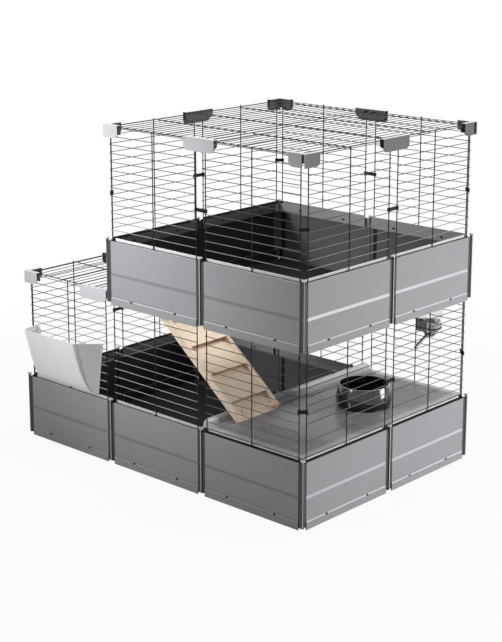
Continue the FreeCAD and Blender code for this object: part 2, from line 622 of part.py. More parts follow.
def ramp_rails():
    """The two side rails, with round-nosed hooks that lie over the edge of the opening."""
    hook_top = RAMP_HOOK_LOW + RAMP_HOOK_THICKNESS
    foot_low = ramp_point(0, 0)
    foot_high = ramp_point(0, RAMP_RAIL_HEIGHT)
    riser_x = RAMP_END_X + RAMP_RAIL_THICKNESS
    riser_z = RAMP_FOOT_Z + RAMP_RAIL_RISE + (RAMP_FOOT_X - riser_x) * RAMP_SLOPE
    end_z = RAMP_FOOT_Z + (RAMP_FOOT_X - RAMP_END_X) * RAMP_SLOPE
    outline = [foot_low, foot_high, (riser_x, riser_z), (riser_x, hook_top), (RAMP_HINGE_X, hook_top),
               (RAMP_HINGE_X, RAMP_HOOK_LOW), (RAMP_END_X, RAMP_HOOK_LOW), (RAMP_END_X, end_z)]
    inner = RAMP_WIDTH / 2 - RAMP_RAIL_THICKNESS
    rails = []
    for y in (RAMP_Y - RAMP_WIDTH / 2, RAMP_Y + inner):
        rail = prism([(x, y, z) for x, z in outline], (0, RAMP_RAIL_THICKNESS, 0))
        nose = V(RAMP_HINGE_X, y, RAMP_HINGE_Z)
        rails.append(join([rail, rod(RAMP_HOOK_THICKNESS, nose, nose + V(0, RAMP_RAIL_THICKNESS, 0))]))
    return rails


def ramp_slab(along, low, high):
    """Board across the ramp between its rails, from pairs of values at its lower and upper end."""
    outline = [ramp_point(along[0], low[0]), ramp_point(along[0], high[0]),
               ramp_point(along[1], high[1]), ramp_point(along[1], low[1])]
    half = RAMP_WIDTH / 2 - RAMP_RAIL_THICKNESS
    return prism([(x, RAMP_Y - half, z) for x, z in outline], (0, 2 * half, 0))


def tread_nose(index):
    """Where a tread's nose lies along the ramp; past the last tread, the ramp's end."""
    if index == 0:
        return TREAD_START
    if index == TREAD_COUNT:
        return RAMP_LENGTH - TREAD_LAP
    return TREAD_START + TREAD_FOOT + (index - 1) * TREAD_PITCH


def tread(index):
    """One tread, lying on the backing board at its upper end and raised at its nose."""
    low = (RAMP_BOARD_THICKNESS + TREAD_RISE, RAMP_BOARD_THICKNESS)
    high = (low[0] + TREAD_THICKNESS, low[1] + TREAD_THICKNESS)
    return ramp_slab((tread_nose(index), tread_nose(index + 1) + TREAD_LAP), low, high)


def foot_screws(diameter, head):
    """The two screws of the foot tread, or the holes for them."""
    slope = math.atan2(TREAD_RISE, TREAD_FOOT + TREAD_LAP)
    along = TREAD_START + SCREW_INSET
    up = RAMP_BOARD_THICKNESS + TREAD_RISE + TREAD_THICKNESS - SCREW_INSET * math.tan(slope)
    lean = math.radians(RAMP_ANGLE) - slope
    out = V(math.sin(lean), 0, math.cos(lean))
    x, z = ramp_point(along, up)
    inset = RAMP_WIDTH / 2 - RAMP_RAIL_THICKNESS - SCREW_INSET
    shapes = []
    for y in (RAMP_Y - inset, RAMP_Y + inset):
        seat = V(x, y, z)
        shank = rod(diameter, seat - out * SCREW_LENGTH, seat + out * SCREW_HEAD_HEIGHT)
        if head:
            cap = rod(SCREW_HEAD_DIAMETER, seat, seat + out * SCREW_HEAD_HEIGHT)
            shank = join([shank, cap])
        shapes.append(shank)
    return shapes


def feeder_outline(back, front, near, far, z, radius):
    """Plan outline of the hopper: straight back, slanting sides and a front with round corners."""
    corner = V(front, far, z)
    sideways = (V(back, near, z) - corner).normalize()
    middle = (sideways + V(-1, 0, 0)).normalize()
    half_angle = sideways.getAngle(V(-1, 0, 0)) / 2
    tangent = radius / math.tan(half_angle)
    side_end = corner + sideways * tangent
    arc_middle = corner + middle * (radius / math.sin(half_angle) - radius)
    front_end = corner - V(tangent, 0, 0)
    right = [V(back, near, z), side_end, arc_middle, front_end]
    left = [V(-p.x, p.y, p.z) for p in right]
    edges = [
        Part.LineSegment(left[0], right[0]), Part.LineSegment(right[0], right[1]), Part.Arc(*right[1:]),
        Part.LineSegment(right[3], left[3]), Part.Arc(left[3], left[2], left[1]),
        Part.LineSegment(left[1], left[0])]
    return Part.Wire([edge.toShape() for edge in edges])


def feeder_body(wall, spill):
    """Feeder hopper by lofting plan outlines; wall draws it in, spill opens its back and top."""
    height = FEEDER_FRONT_TOP - FEEDER_BOTTOM
    outlines = []
    for step in range(FEEDER_STEPS + 1):
        share = (step / FEEDER_STEPS) ** 2
        draw = FEEDER_TAPER * (1 - share) + wall
        back = FEEDER_BACK_WIDTH / 2 - draw
        depth = FEEDER_FOOT_DEPTH + (FEEDER_DEPTH - FEEDER_FOOT_DEPTH) * share ** FEEDER_CURVE
        front = back - (FEEDER_BACK_WIDTH - FEEDER_FRONT_WIDTH) / 2 * depth / FEEDER_DEPTH
        z = FEEDER_BOTTOM + height * share + wall * (1 - share) + spill * share
        near = FEEDER_STANDOFF - spill
        far = FEEDER_STANDOFF + depth - wall
        radius = (FEEDER_CORNER - wall) * depth / FEEDER_DEPTH
        outlines.append(feeder_outline(back, front, near, far, z, radius))
    return Part.makeLoft(outlines, True, True)


def hay_feeder():
    """Open-backed hopper that hangs on a row of the front grille; the cage lies towards -Y."""
    hopper = feeder_body(0.0, 0.0).cut(feeder_body(FEEDER_WALL, FEEDER_WALL))
    half_top = FEEDER_BACK_WIDTH / 2
    half_low = half_top - FEEDER_TAPER
    pieces = [hopper]
    for side in (-1, 1):
        points = [(side * half_low, FEEDER_BOTTOM), (side * (half_low - FEEDER_FLANGE), FEEDER_BOTTOM),
                  (side * (half_top - FEEDER_FLANGE), FEEDER_FRONT_TOP), (side * half_top, FEEDER_FRONT_TOP)]
        pieces.append(prism([(x, FEEDER_STANDOFF, z) for x, z in points], (0, FEEDER_WALL, 0)))
    hook_z = FEEDER_HOOK_Z
    back = (FEEDER_STANDOFF, FEEDER_STANDOFF + FEEDER_WALL)
    hook_in = ROW_Y - ROW_DIAMETER / 2 - FIT - FEEDER_WALL
    for side in (-1, 1):
        span = (side * FEEDER_HOOK_X - FEEDER_HOOK_WIDTH / 2, side * FEEDER_HOOK_X + FEEDER_HOOK_WIDTH / 2)
        pieces.append(box(span, (hook_in, back[1]), (hook_z, hook_z + FEEDER_WALL)))
        pieces.append(box(span, (hook_in, hook_in + FEEDER_WALL), (hook_z - FEEDER_HOOK_LIP, hook_z)))
    feeder = join(pieces)
    reach = FEEDER_STANDOFF + FEEDER_DEPTH
    wide = FEEDER_BACK_WIDTH
    above = FEEDER_FRONT_TOP + FEEDER_DEPTH
    cover = prism([(-wide, FEEDER_STANDOFF, FEEDER_BACK_TOP), (-wide, reach, FEEDER_FRONT_TOP),
                   (-wide, reach, above), (-wide, FEEDER_STANDOFF, above)], (2 * wide, 0, 0))
    return feeder.cut(cover).Solids[0]


def bowl():
    """Round bellied bowl with a finger notch under its front edge."""
    foot = BOWL_FOOT_DIAMETER / 2
    belly = BOWL_DIAMETER / 2
    mouth = BOWL_MOUTH_DIAMETER / 2
    wall = BOWL_WALL
    rim = V(mouth, 0, BOWL_HEIGHT)
    rim_in = V(mouth - wall, 0, BOWL_HEIGHT)
    crown = V(mouth - wall / 2, 0, BOWL_HEIGHT + wall / 2)
    upper = (BOWL_BELLY + BOWL_HEIGHT) / 2
    swell = mouth + (belly - mouth) * BOWL_SWELL
    inner_low = V(BOWL_WELL_DIAMETER / 2, 0, BOWL_FLOOR)
    foot_swell = V(foot + (belly - foot) * BOWL_FOOT_SWELL, 0, BOWL_BELLY / 2)
    outer_wall = Part.Arc(V(belly, 0, BOWL_BELLY), V(swell, 0, upper), rim).toShape()
    inner_belly = V(belly - 2 * wall, 0, BOWL_BELLY)
    inner_wall = Part.Arc(rim_in, V(swell - wall, 0, upper - wall), inner_belly).toShape()
    edges = [
        Part.LineSegment(V(0, 0, 0), V(foot, 0, 0)).toShape(),
        Part.Arc(V(foot, 0, 0), foot_swell, V(belly, 0, BOWL_BELLY)).toShape(),
        outer_wall,
        Part.Arc(rim, crown, rim_in).toShape(),
        inner_wall,
        Part.LineSegment(inner_belly, inner_low).toShape(),
        Part.LineSegment(inner_low, V(0, 0, BOWL_FLOOR)).toShape(),
        Part.LineSegment(V(0, 0, BOWL_FLOOR), V(0, 0, 0)).toShape()]
    body = Part.Face(Part.Wire(edges)).revolve(V(0, 0, 0), V(0, 0, 1), 360)
    notch = box((-BOWL_NOTCH_WIDTH / 2, BOWL_NOTCH_WIDTH / 2), (-belly - 1, wall - foot),
                (-1, BOWL_NOTCH_HEIGHT))
    notch.rotate(V(0, 0, 0), V(0, 0, 1), BOWL_NOTCH_TURN)
    return body.cut(notch).Solids[0]


def bottle_body():
    """Clear bottle, neck down in its cap, hollow."""
    neck = NECK_DIAMETER / 2
    belly = BOTTLE_DIAMETER / 2
    wall = BOTTLE_WALL
    neck_low = CAP_FLANGE_Z + CAP_FLANGE_THICKNESS
    shoulder = CAP_TOP + FIT
    widest = shoulder + BOTTLE_SHOULDER
    top = shoulder + BOTTLE_LENGTH
    crown = top - BOTTLE_SHOULDER / 2
    flat = belly - BOTTLE_SHOULDER / 2
    profile = [
        (neck - wall, neck_low), (neck, neck_low), (neck, shoulder), (belly, widest), (belly, crown),
        (flat, top), (0, top), (0, top - wall), (flat, top - wall), (belly - wall, crown),
        (belly - wall, widest), (neck - wall, shoulder)]
    return turned(profile)


def bottle_cap():
    """Screw cap with a carrying flange and a cone that holds the spout."""
    wide = CAP_DIAMETER / 2
    flange = CAP_FLANGE_DIAMETER / 2
    neck = NECK_DIAMETER / 2 + FIT
    nose = CAP_NOSE_DIAMETER / 2
    shelf = CAP_FLANGE_Z + CAP_FLANGE_THICKNESS
    profile = [
        (0, CAP_BOTTOM), (nose, CAP_BOTTOM), (wide - CAP_WALL, CAP_FLANGE_Z), (flange, CAP_FLANGE_Z),
        (flange, shelf), (wide, shelf), (wide, CAP_TOP), (neck, CAP_TOP), (neck, shelf - FIT),
        (nose - CAP_WALL, CAP_BOTTOM + CAP_WALL), (0, CAP_BOTTOM + CAP_WALL)]
    cap = turned(profile)
    start = spout_local(0)
    return cap.cut(rod(SPOUT_DIAMETER + 2 * GROOVE_CLEARANCE, start, spout_local(spout_length()))).Solids[0]


def spout_length():
    """Length of the spout from its tip to the middle of the cap's cone."""
    return (SPOUT_ROOT - SPOUT_TIP).Length


def spout_local(distance):
    """Point of the spout's axis at a distance from the tip, about the bottle's own axis."""
    return SPOUT_TIP + SPOUT_AXIS * distance - V(BOTTLE_X, BOTTLE_Y, 0)


def bottle_spout():
    """Drinking tube with a lip that keeps the ball in."""
    length = spout_length()
    tube = rod(SPOUT_DIAMETER, spout_local(0), spout_local(length))
    bore = rod(SPOUT_BORE, spout_local(SPOUT_LIP), spout_local(length + 1))
    mouth = rod(SPOUT_LIP_BORE, spout_local(-1), spout_local(SPOUT_LIP + 1))
    return tube.cut([bore, mouth]).Solids[0]


def spout_ball():
    """Ball that closes the spout from inside."""
    radius = BALL_DIAMETER / 2
    back = math.sqrt(radius ** 2 - (SPOUT_LIP_BORE / 2) ** 2) + FIT
    ball = Part.makeSphere(radius)
    ball.translate(spout_local(SPOUT_LIP + back))
    return ball


def bottle_holder():
    """Hanger on the rear grille: a plate with two hooks and a half ring under the cap's flange."""
    row_z = PANEL_HEIGHT + HOLDER_ROW * ROW_PITCH + ROW_DIAMETER / 2 + FIT
    ring_low = CAP_FLANGE_Z - FIT - HOLDER_PLATE
    inner = CAP_DIAMETER / 2 - CAP_WALL + FIT * 2
    outer = inner + HOLDER_RING_WIDTH
    row_out = REAR_ROW_Y + ROW_DIAMETER / 2 - BOTTLE_Y
    plate_y = (row_out + FIT, row_out + FIT + HOLDER_PLATE)
    half = HOLDER_PLATE_WIDTH / 2
    ring = Part.makeCylinder(outer, HOLDER_PLATE, V(0, 0, ring_low))
    ring = ring.cut(Part.makeCylinder(inner, HOLDER_PLATE, V(0, 0, ring_low)))
    ring = ring.common(box((-outer, outer), (-outer, 0), (ring_low, ring_low + HOLDER_PLATE)))
    pieces = [ring]
    pieces.append(box((-half, half), plate_y, (ring_low, row_z + HOLDER_PLATE)))
    pieces.append(box((-half, half), (plate_y[0], 1 - inner - HOLDER_RING_WIDTH / 2),
                      (ring_low, ring_low + HOLDER_PLATE)))
    hook_in = row_out - ROW_DIAMETER - FIT - HOLDER_PLATE
    for side in (-1, 1):
        x = side * HOLDER_HOOK_X
        span = (x - HOLDER_HOOK_WIDTH / 2, x + HOLDER_HOOK_WIDTH / 2)
        pieces.append(box(span, (hook_in, plate_y[1]), (row_z, row_z + HOLDER_PLATE)))
        pieces.append(box(span, (hook_in, hook_in + HOLDER_PLATE), (row_z - HOLDER_HOOK_LIP, row_z)))
    return join(pieces)


def walls(parts):
    """Panels, grilles, posts and clips of both storeys."""
    panel = wall_panel()
    mesh = grille()
    parts["joint_posts"] = []
    parts["grille_clips"] = []
    for storey, left, base in (("lower", LOWER_LEFT, 0.0), ("upper", UPPER_LEFT, LEVEL_PITCH)):
        for name, x, y, angle in wall_places(left, LOWER_RIGHT):
            parts[f"{storey}_panel_{name}"] = [placed(panel, x, y, base, angle)]
            parts[f"{storey}_grille_{name}"] = [placed(mesh, x, y, base, angle)]
        for x, y, arms, sides in post_places(left, LOWER_RIGHT):
            parts["joint_posts"].append(placed(joint_post(arms), x, y, base))
            parts["grille_clips"].append(placed(grille_clip(arms, sides), x, y, base))


def roofs(parts):
    """Brackets, cradles and lids of both storeys."""
    straight = straight_bracket()
    corner = corner_bracket()
    cradle = lid_cradle()
    corners = [(LOWER_RIGHT, HALF_DEPTH, LEVEL_PITCH, 0.0), (UPPER_LEFT, HALF_DEPTH, LEVEL_PITCH, 90.0),
               (UPPER_LEFT, -HALF_DEPTH, LEVEL_PITCH, 180.0), (LOWER_RIGHT, -HALF_DEPTH, LEVEL_PITCH, 270.0),
               (LOWER_LEFT, HALF_DEPTH, 0.0, 90.0), (LOWER_LEFT, -HALF_DEPTH, 0.0, 180.0)]
    seam = UPPER_LEFT + MODULE
    low_end = UPPER_LEFT - LOW_BRACKET_GAP - BRACKET_LENGTH / 2
    straights = [(seam, HALF_DEPTH, LEVEL_PITCH, 0.0), (seam, -HALF_DEPTH, LEVEL_PITCH, 180.0),
                 (UPPER_LEFT, 0.0, LEVEL_PITCH, 90.0), (LOWER_RIGHT, 0.0, LEVEL_PITCH, -90.0),
                 (low_end, HALF_DEPTH, 0.0, 0.0), (low_end, -HALF_DEPTH, 0.0, 180.0),
                 (LOWER_LEFT, 0.0, 0.0, 90.0)]
    lids = {"lower_lid": (LOWER_LEFT + MODULE / 2, 0.0),
            "upper_lid_left": (UPPER_LEFT + MODULE / 2, LEVEL_PITCH),
            "upper_lid_right": (LOWER_RIGHT - MODULE / 2, LEVEL_PITCH)}
    parts["corner_brackets"] = [placed(corner, *place) for place in corners]
    parts["straight_brackets"] = [placed(straight, *place) for place in straights]
    parts["lid_cradles"] = []
    lid = roof_lid()
    for name, (x, base) in lids.items():
        parts[name] = [placed(lid, x, 0, base)]
        for edge in (x - LID_WIDTH / 2, x + LID_WIDTH / 2):
            parts["lid_cradles"].append(placed(cradle, edge, 0, base))
            parts["lid_cradles"].append(placed(cradle, edge, 0, base, 180.0))


def floors(parts):
    """Floor sheets, their joiners and the platform."""
    parts["lower_floor_sheets"] = floor_sheets(LOWER_LEFT, LOWER_RIGHT)
    left, right = [placed(sheet, 0, 0, LEVEL_PITCH) for sheet in floor_sheets(UPPER_LEFT, LOWER_RIGHT)]
    opening = box((OPENING_LEFT, OPENING_LEFT + OPENING_LENGTH),
                  (RAMP_Y - OPENING_WIDTH / 2, RAMP_Y + OPENING_WIDTH / 2),
                  (LEVEL_PITCH, LEVEL_PITCH + FLOOR_TOP + 1))
    parts["upper_floor_left"] = [left.cut(opening).Solids[0]]
    parts["upper_floor_right"] = [right]
    joiner = floor_joiner()
    parts["floor_joiners"] = []
    for index in range(1, LOWER_MODULES):
        parts["floor_joiners"].append(placed(joiner, LOWER_LEFT + index * MODULE, 0, 0))
    for index in range(1, UPPER_MODULES):
        parts["floor_joiners"].append(placed(joiner, UPPER_LEFT + index * MODULE, 0, LEVEL_PITCH))
    parts["platform"] = [platform()]


def fittings(parts):
    """Ramp, feeder, bowl and water bottle."""
    board = (RAMP_BOARD_THICKNESS, RAMP_BOARD_THICKNESS)
    treads = [tread(index) for index in range(TREAD_COUNT)]
    treads[0] = treads[0].cut(foot_screws(SCREW_DIAMETER + 2 * GROOVE_CLEARANCE, False)).Solids[0]
    parts["ramp_rails"] = ramp_rails()
    parts["ramp_board"] = [ramp_slab((0, RAMP_LENGTH), (0, 0), board)]
    parts["ramp_treads"] = treads
    parts["ramp_screws"] = foot_screws(SCREW_DIAMETER, True)
    parts["hay_feeder"] = [placed(hay_feeder(), FEEDER_X, -HALF_DEPTH, 0, 180.0)]
    parts["bowl"] = [placed(bowl(), BOWL_X, BOWL_Y, PLATFORM_TOP + FIT)]
    bottle = {"bottle_body": bottle_body, "bottle_cap": bottle_cap, "bottle_spout": bottle_spout,
              "spout_ball": spout_ball, "bottle_holder": bottle_holder}
    for name, make in bottle.items():
        parts[name] = [placed(make(), BOTTLE_X, BOTTLE_Y, 0)]


def main():
    parts = {}
    walls(parts)
    roofs(parts)
    floors(parts)
    fittings(parts)
    os.makedirs("parts", exist_ok=True)
    for name, solids in parts.items():
        shape = solids[0] if len(solids) == 1 else Part.makeCompound(solids)
        if not shape.isValid():
            print("not valid:", name)
        shape.exportStep(f"parts/{name}.step")
    print(len(parts), "nodes,", sum(len(solids) for solids in parts.values()), "solids")


main()
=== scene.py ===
"""Small animal cage: finishes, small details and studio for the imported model."""

import json
import math

import bpy
from mathutils import Euler, Matrix, Vector


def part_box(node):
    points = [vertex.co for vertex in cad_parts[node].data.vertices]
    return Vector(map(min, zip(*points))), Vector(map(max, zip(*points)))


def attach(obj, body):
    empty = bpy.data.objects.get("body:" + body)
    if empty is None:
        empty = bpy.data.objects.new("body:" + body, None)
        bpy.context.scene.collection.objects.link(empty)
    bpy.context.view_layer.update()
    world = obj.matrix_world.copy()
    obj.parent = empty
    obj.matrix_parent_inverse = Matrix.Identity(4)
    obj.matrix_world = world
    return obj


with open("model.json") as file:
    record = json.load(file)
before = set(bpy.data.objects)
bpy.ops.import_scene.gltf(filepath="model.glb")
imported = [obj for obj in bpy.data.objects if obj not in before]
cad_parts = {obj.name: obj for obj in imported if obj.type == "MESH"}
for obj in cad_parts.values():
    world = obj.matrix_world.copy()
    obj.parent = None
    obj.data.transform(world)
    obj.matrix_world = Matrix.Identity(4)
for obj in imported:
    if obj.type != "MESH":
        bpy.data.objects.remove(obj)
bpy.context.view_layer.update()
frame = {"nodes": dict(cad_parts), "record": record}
NODES = frame["nodes"]
SLOT_OF = {row["node"]: row["material_slot"] for row in frame["record"]["subparts"]}

bl_info = {
    "name": "Small animal cage",
    "version": (1, 0, 0),
    "blender": (4, 5, 0),
    "location": "3D View > Sidebar > Cage",
    "description": "Finishes and small details for a two-storey cage of panels and wire grilles",
    "category": "Object",
}

MM = 0.001

# The frame's layout in metres, as the panels and grilles stand in it
MODULE = 354 * MM
LEVEL_PITCH = 465 * MM
STOREY_CHANGE = LEVEL_PITCH + 0.5 * MM
HALF_DEPTH = MODULE
LOWER_LEFT = -1.5 * MODULE
LOWER_RIGHT = 1.5 * MODULE
UPPER_LEFT = -0.5 * MODULE
INNER_START = 0.2 * MM      # this far inside the post line a face counts as an inner one

# Wall panels: heights from the storey's base, and what lies on their faces
PANEL_TOP = 188 * MM
PANEL_WALL = 2.4 * MM
PANEL_HALF = 4 * MM
PANEL_GAP = 13.75 * MM
BAND_LOW = 83 * MM
BAND_HIGH = 91.5 * MM
BAND_DEPTH = 1.2 * MM
SKIRT_TOP = 20 * MM
SKIRT_ROUND = 0.4 * MM
# the skirt's painted edge highlight reaches up to this height
SKIRT_EDGE = 23 * MM
# height of the painted shade line under the skirt's edge highlight
UNDER_EDGE_SHADE_HEIGHT = 1.6 * MM
# top of the painted shade over the panels' inner face
INNER_SHADE_TOP = 154 * MM
# span of the paler painted line at the top of the inner shade on the lower left wall
CREASE_DROP = 1 * MM
CREASE_RISE = 4.5 * MM
LIP_LOW = 179.7 * MM
LIP_REACH = 26 * MM
# height of the painted shade along the lips by the half floor
LINE_HEIGHT = 4.2 * MM
SHADOW_WIDTH = 13 * MM
SLOT_PLACE = 93 * MM
SLOT_LEVEL = 165 * MM
SLOT_HALF_LENGTH = 4.8 * MM
SLOT_HALF_HEIGHT = 2.8 * MM

# Joint posts and roof brackets
POST_REACH = 15 * MM
POST_HEAD = 2.4 * MM
RIDGE_HALF = 1.4 * MM
RIDGE_SHADE_HALF = 2.8 * MM
BRACKET_HALF = 12 * MM

# Grilles
UPRIGHTS = (-160 * MM, 0.0, 160 * MM)
UPRIGHT_INSET = 17 * MM
UPRIGHT_HALF = 1.7 * MM
GRILLE_DEPTH = 8 * MM
ROW_COUNT = 13
ROW_PITCH = 23.408 * MM
ROW_HALF = 1.15 * MM
FADE_ROWS = 5               # rows over which the painted highlight fades to the painted sheen
LOWER_PALE_ROWS = 3         # rows that keep the painted highlight in the lower storey
WELD_OUT = -2.9 * MM

# Half floor
PLATFORM_LEFT = 177 * MM
PLATFORM_FACE = 191 * MM
PLATFORM_ROUND = 0.4 * MM
PLATFORM_LIP = 12 * MM
PLATFORM_LIP_EDGE = 27 * MM
PLATFORM_EDGE = 18 * MM
RIB_FOOT = 0.6 * MM
PEG_HEAD = 7.6 * MM

# Ramp, bowl and bottle
RAMP_SLOPE = math.radians(39.5)
RAMP_FOOT = Vector((226 * MM, 0.0, 192.5 * MM))
FIRST_NOSE = 52 * MM
TREAD_PITCH = 97.57 * MM
NOSE_WIDTH = 2.2 * MM
BOWL_RIM = 1.2 * MM
BOTTLE_AXIS = Vector((371 * MM, 395.5 * MM, 0.0))
CAP_RADIUS = 30 * MM
CAP_FLANGE_LOW = 21 * MM    # below the cap's top, as the next two
CAP_FLANGE_HIGH = 16.5 * MM
CAP_RIB_MIDDLE = 9 * MM

# Studio, in metres and degrees
FLOOR_REACH = 14.0
FLOOR_DROP = 0.2 * MM
SENSOR_WIDTH = 36.0
CAMERA_LENS = 85.9
CAMERA_SHIFT = -0.1106
CAMERA_PLACE = (2.868, -3.0953, 1.5836)
CAMERA_TURN = 42.51
CAMERA_TILT = 13.33


def srgb(red, green, blue):
    """Linear colour from sRGB values between 0 and 255."""
    def linear(value):
        value /= 255
        return value / 12.92 if value <= 0.04045 else ((value + 0.055) / 1.055) ** 2.4
    return (linear(red), linear(green), linear(blue))


def colour_property(name, description, default):
    """A colour that a user may change."""
    return bpy.props.FloatVectorProperty(
        name=name, description=description, default=default, subtype="COLOR", size=3, min=0.0, max=1.0)


def length_property(name, description, default):
    """A length in metres that a user may change."""
    return bpy.props.FloatProperty(
        name=name, description=description, default=default, min=0.0, unit="LENGTH", precision=5)


class CageColours(bpy.types.PropertyGroup):
    """Colours of the cage's materials."""

    panel: colour_property("Panel", "Moulded wall panels", srgb(168, 169, 172))
    # colour of the painted shade over the panels' inner face
    inner_shade: colour_property("Lining", "Inner face of the wall panels", srgb(32, 32, 34))
    # colour of the painted highlight on the panels' lips
    painted_lip: colour_property("Lip", "Pale lips and edges of the panels", srgb(232, 233, 235))
    # colour of the painted shade in the joints between panels and posts and on the posts' flanks
    gap: colour_property("Gap", "Deep joints between panels and posts", srgb(74, 75, 78))
    # colour of the painted highlight on the posts' ridge and head, and on the bowl's rim
    post: colour_property("Post", "Ridge and head of the joint posts", srgb(206, 207, 209))
    bracket: colour_property("Bracket", "Roof brackets", srgb(206, 207, 210))
    wire: colour_property("Wire", "Coated uprights of the grilles and lids", srgb(28, 26, 25))
    # colour of the painted highlight on the rows just above the panels
    row_highlight: colour_property("Wire row", "Coated rows just above the panels", srgb(160, 155, 152))
    # the dark coat greyed by a painted sheen, on the higher rows and the lids
    row_sheen: colour_property("High row", "Coated rows further up", srgb(80, 75, 73))
    clip: colour_property("Clip", "Grille clips and lid cradles", srgb(24, 24, 25))
    floor_sheet: colour_property("Floor sheet", "Matt floor sheets", srgb(26, 26, 27))
    joiner: colour_property("Joiner", "Strips between the floor sheets", srgb(245, 245, 246))
    platform: colour_property("Platform", "Half floor on the panels' top lips", srgb(200, 201, 204))
    feeder: colour_property("Feeder", "Hay feeder", srgb(250, 250, 251))
    pine: colour_property("Pine", "Bare wood of the ramp", srgb(255, 237, 214))
    pine_late: colour_property("Late wood", "Darker grain lines of the ramp", srgb(232, 192, 150))
    bowl: colour_property("Bowl", "Glossy food bowl", srgb(14, 14, 15))
    bottle: colour_property("Bottle", "Clear water bottle", srgb(247, 247, 247))
    cap: colour_property("Cap", "Screw cap of the bottle", srgb(140, 140, 143))
    steel: colour_property("Steel", "Drinking spout and screws", srgb(178, 178, 180))
    holder: colour_property("Holder", "Coated hanger of the bottle", srgb(190, 190, 191))


class CageSizes(bpy.types.PropertyGroup):
    """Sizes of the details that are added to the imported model."""

    weld_radius: length_property("Weld radius", "Nugget where two wires are welded", 1.7 * MM)
    weld_height: length_property("Weld height", "Nugget's height across the wires", 1.2 * MM)
    gate_radius: length_property("Gate mark radius", "Moulding mark in the middle of a panel's band", 1.6 * MM)
    gate_height: length_property("Gate mark height", "How far the moulding mark stands out", 0.5 * MM)
    cap_rib_width: length_property("Cap rib width", "Grip ribs round the bottle's cap", 1.6 * MM)
    cap_rib_length: length_property("Cap rib length", "Length of a grip rib", 13 * MM)
    cap_ribs: bpy.props.IntProperty(
        name="Cap ribs", description="Number of grip ribs round the cap", default=36, min=3, max=90)


class CageStage(bpy.types.PropertyGroup):
    """Light of the studio."""

    key_power: bpy.props.FloatProperty(
        name="Key lamp", description="Soft lamp on the right", default=13.5, min=0.0, subtype="POWER")
    fill_power: bpy.props.FloatProperty(
        name="Fill lamp", description="Soft lamp in front", default=2.4, min=0.0, subtype="POWER")
    top_power: bpy.props.FloatProperty(
        name="Top lamp", description="Soft lamp overhead", default=86.0, min=0.0, subtype="POWER")
    surround: bpy.props.FloatProperty(
        name="Surround", description="Level of the light from all round", default=0.24, min=0.0, max=1.0)


def colours():
    """The cage's colours."""
    return bpy.context.scene.cage_colours


def sizes():
    """The cage's detail sizes."""
    return bpy.context.scene.cage_sizes


class Shade:
    """A socket that carries a value, for shader maths written as Python expressions."""

    def __init__(self, tree, socket):
        self.tree = tree
        self.socket = socket

    def math(self, operation, *values):
        """The result of one Math node."""
        step = self.tree.nodes.new("ShaderNodeMath")
        step.operation = operation
        for socket, value in zip(step.inputs, values):
            feed(self.tree, socket, value)
        return Shade(self.tree, step.outputs[0])

    def __add__(self, other):
        return self.math("ADD", self, other)

    __radd__ = __add__

    def __sub__(self, other):
        return self.math("SUBTRACT", self, other)

    def __rsub__(self, other):
        return self.math("SUBTRACT", other, self)

    def __mul__(self, other):
        return self.math("MULTIPLY", self, other)

    __rmul__ = __mul__

    def __truediv__(self, other):
        return self.math("DIVIDE", self, other)

    def __abs__(self):
        return self.math("ABSOLUTE", self)

    def __gt__(self, other):
        return self.math("GREATER_THAN", self, other)

    def __lt__(self, other):
        return self.math("LESS_THAN", self, other)

    def between(self, low, high):
        """One between two limits, nought elsewhere."""
        return (self > low) * (self < high)

    def larger(self, other):
        """The larger of two values."""
        return self.math("MAXIMUM", self, other)

    def smaller(self, other):
        """The smaller of two values."""
        return self.math("MINIMUM", self, other)

    def share(self, start, length):
        """Rises from nought at the start to one after the length."""
        return ((self - start) / length).larger(0.0).smaller(1.0)

    def off_grid(self, start, pitch):
        """Signed distance to the nearest line of a grid."""
        return self.math("MODULO", self - start + pitch / 2, pitch) - pitch / 2


def feed(tree, socket, value):
    """Sets a socket to a plain value, or links it to a shade."""
    if isinstance(value, Shade):
        tree.links.new(value.socket, socket)
    elif isinstance(value, (int, float)) or socket.type != "RGBA":
        socket.default_value = value
    else:
        socket.default_value = (*value[:3], 1.0)


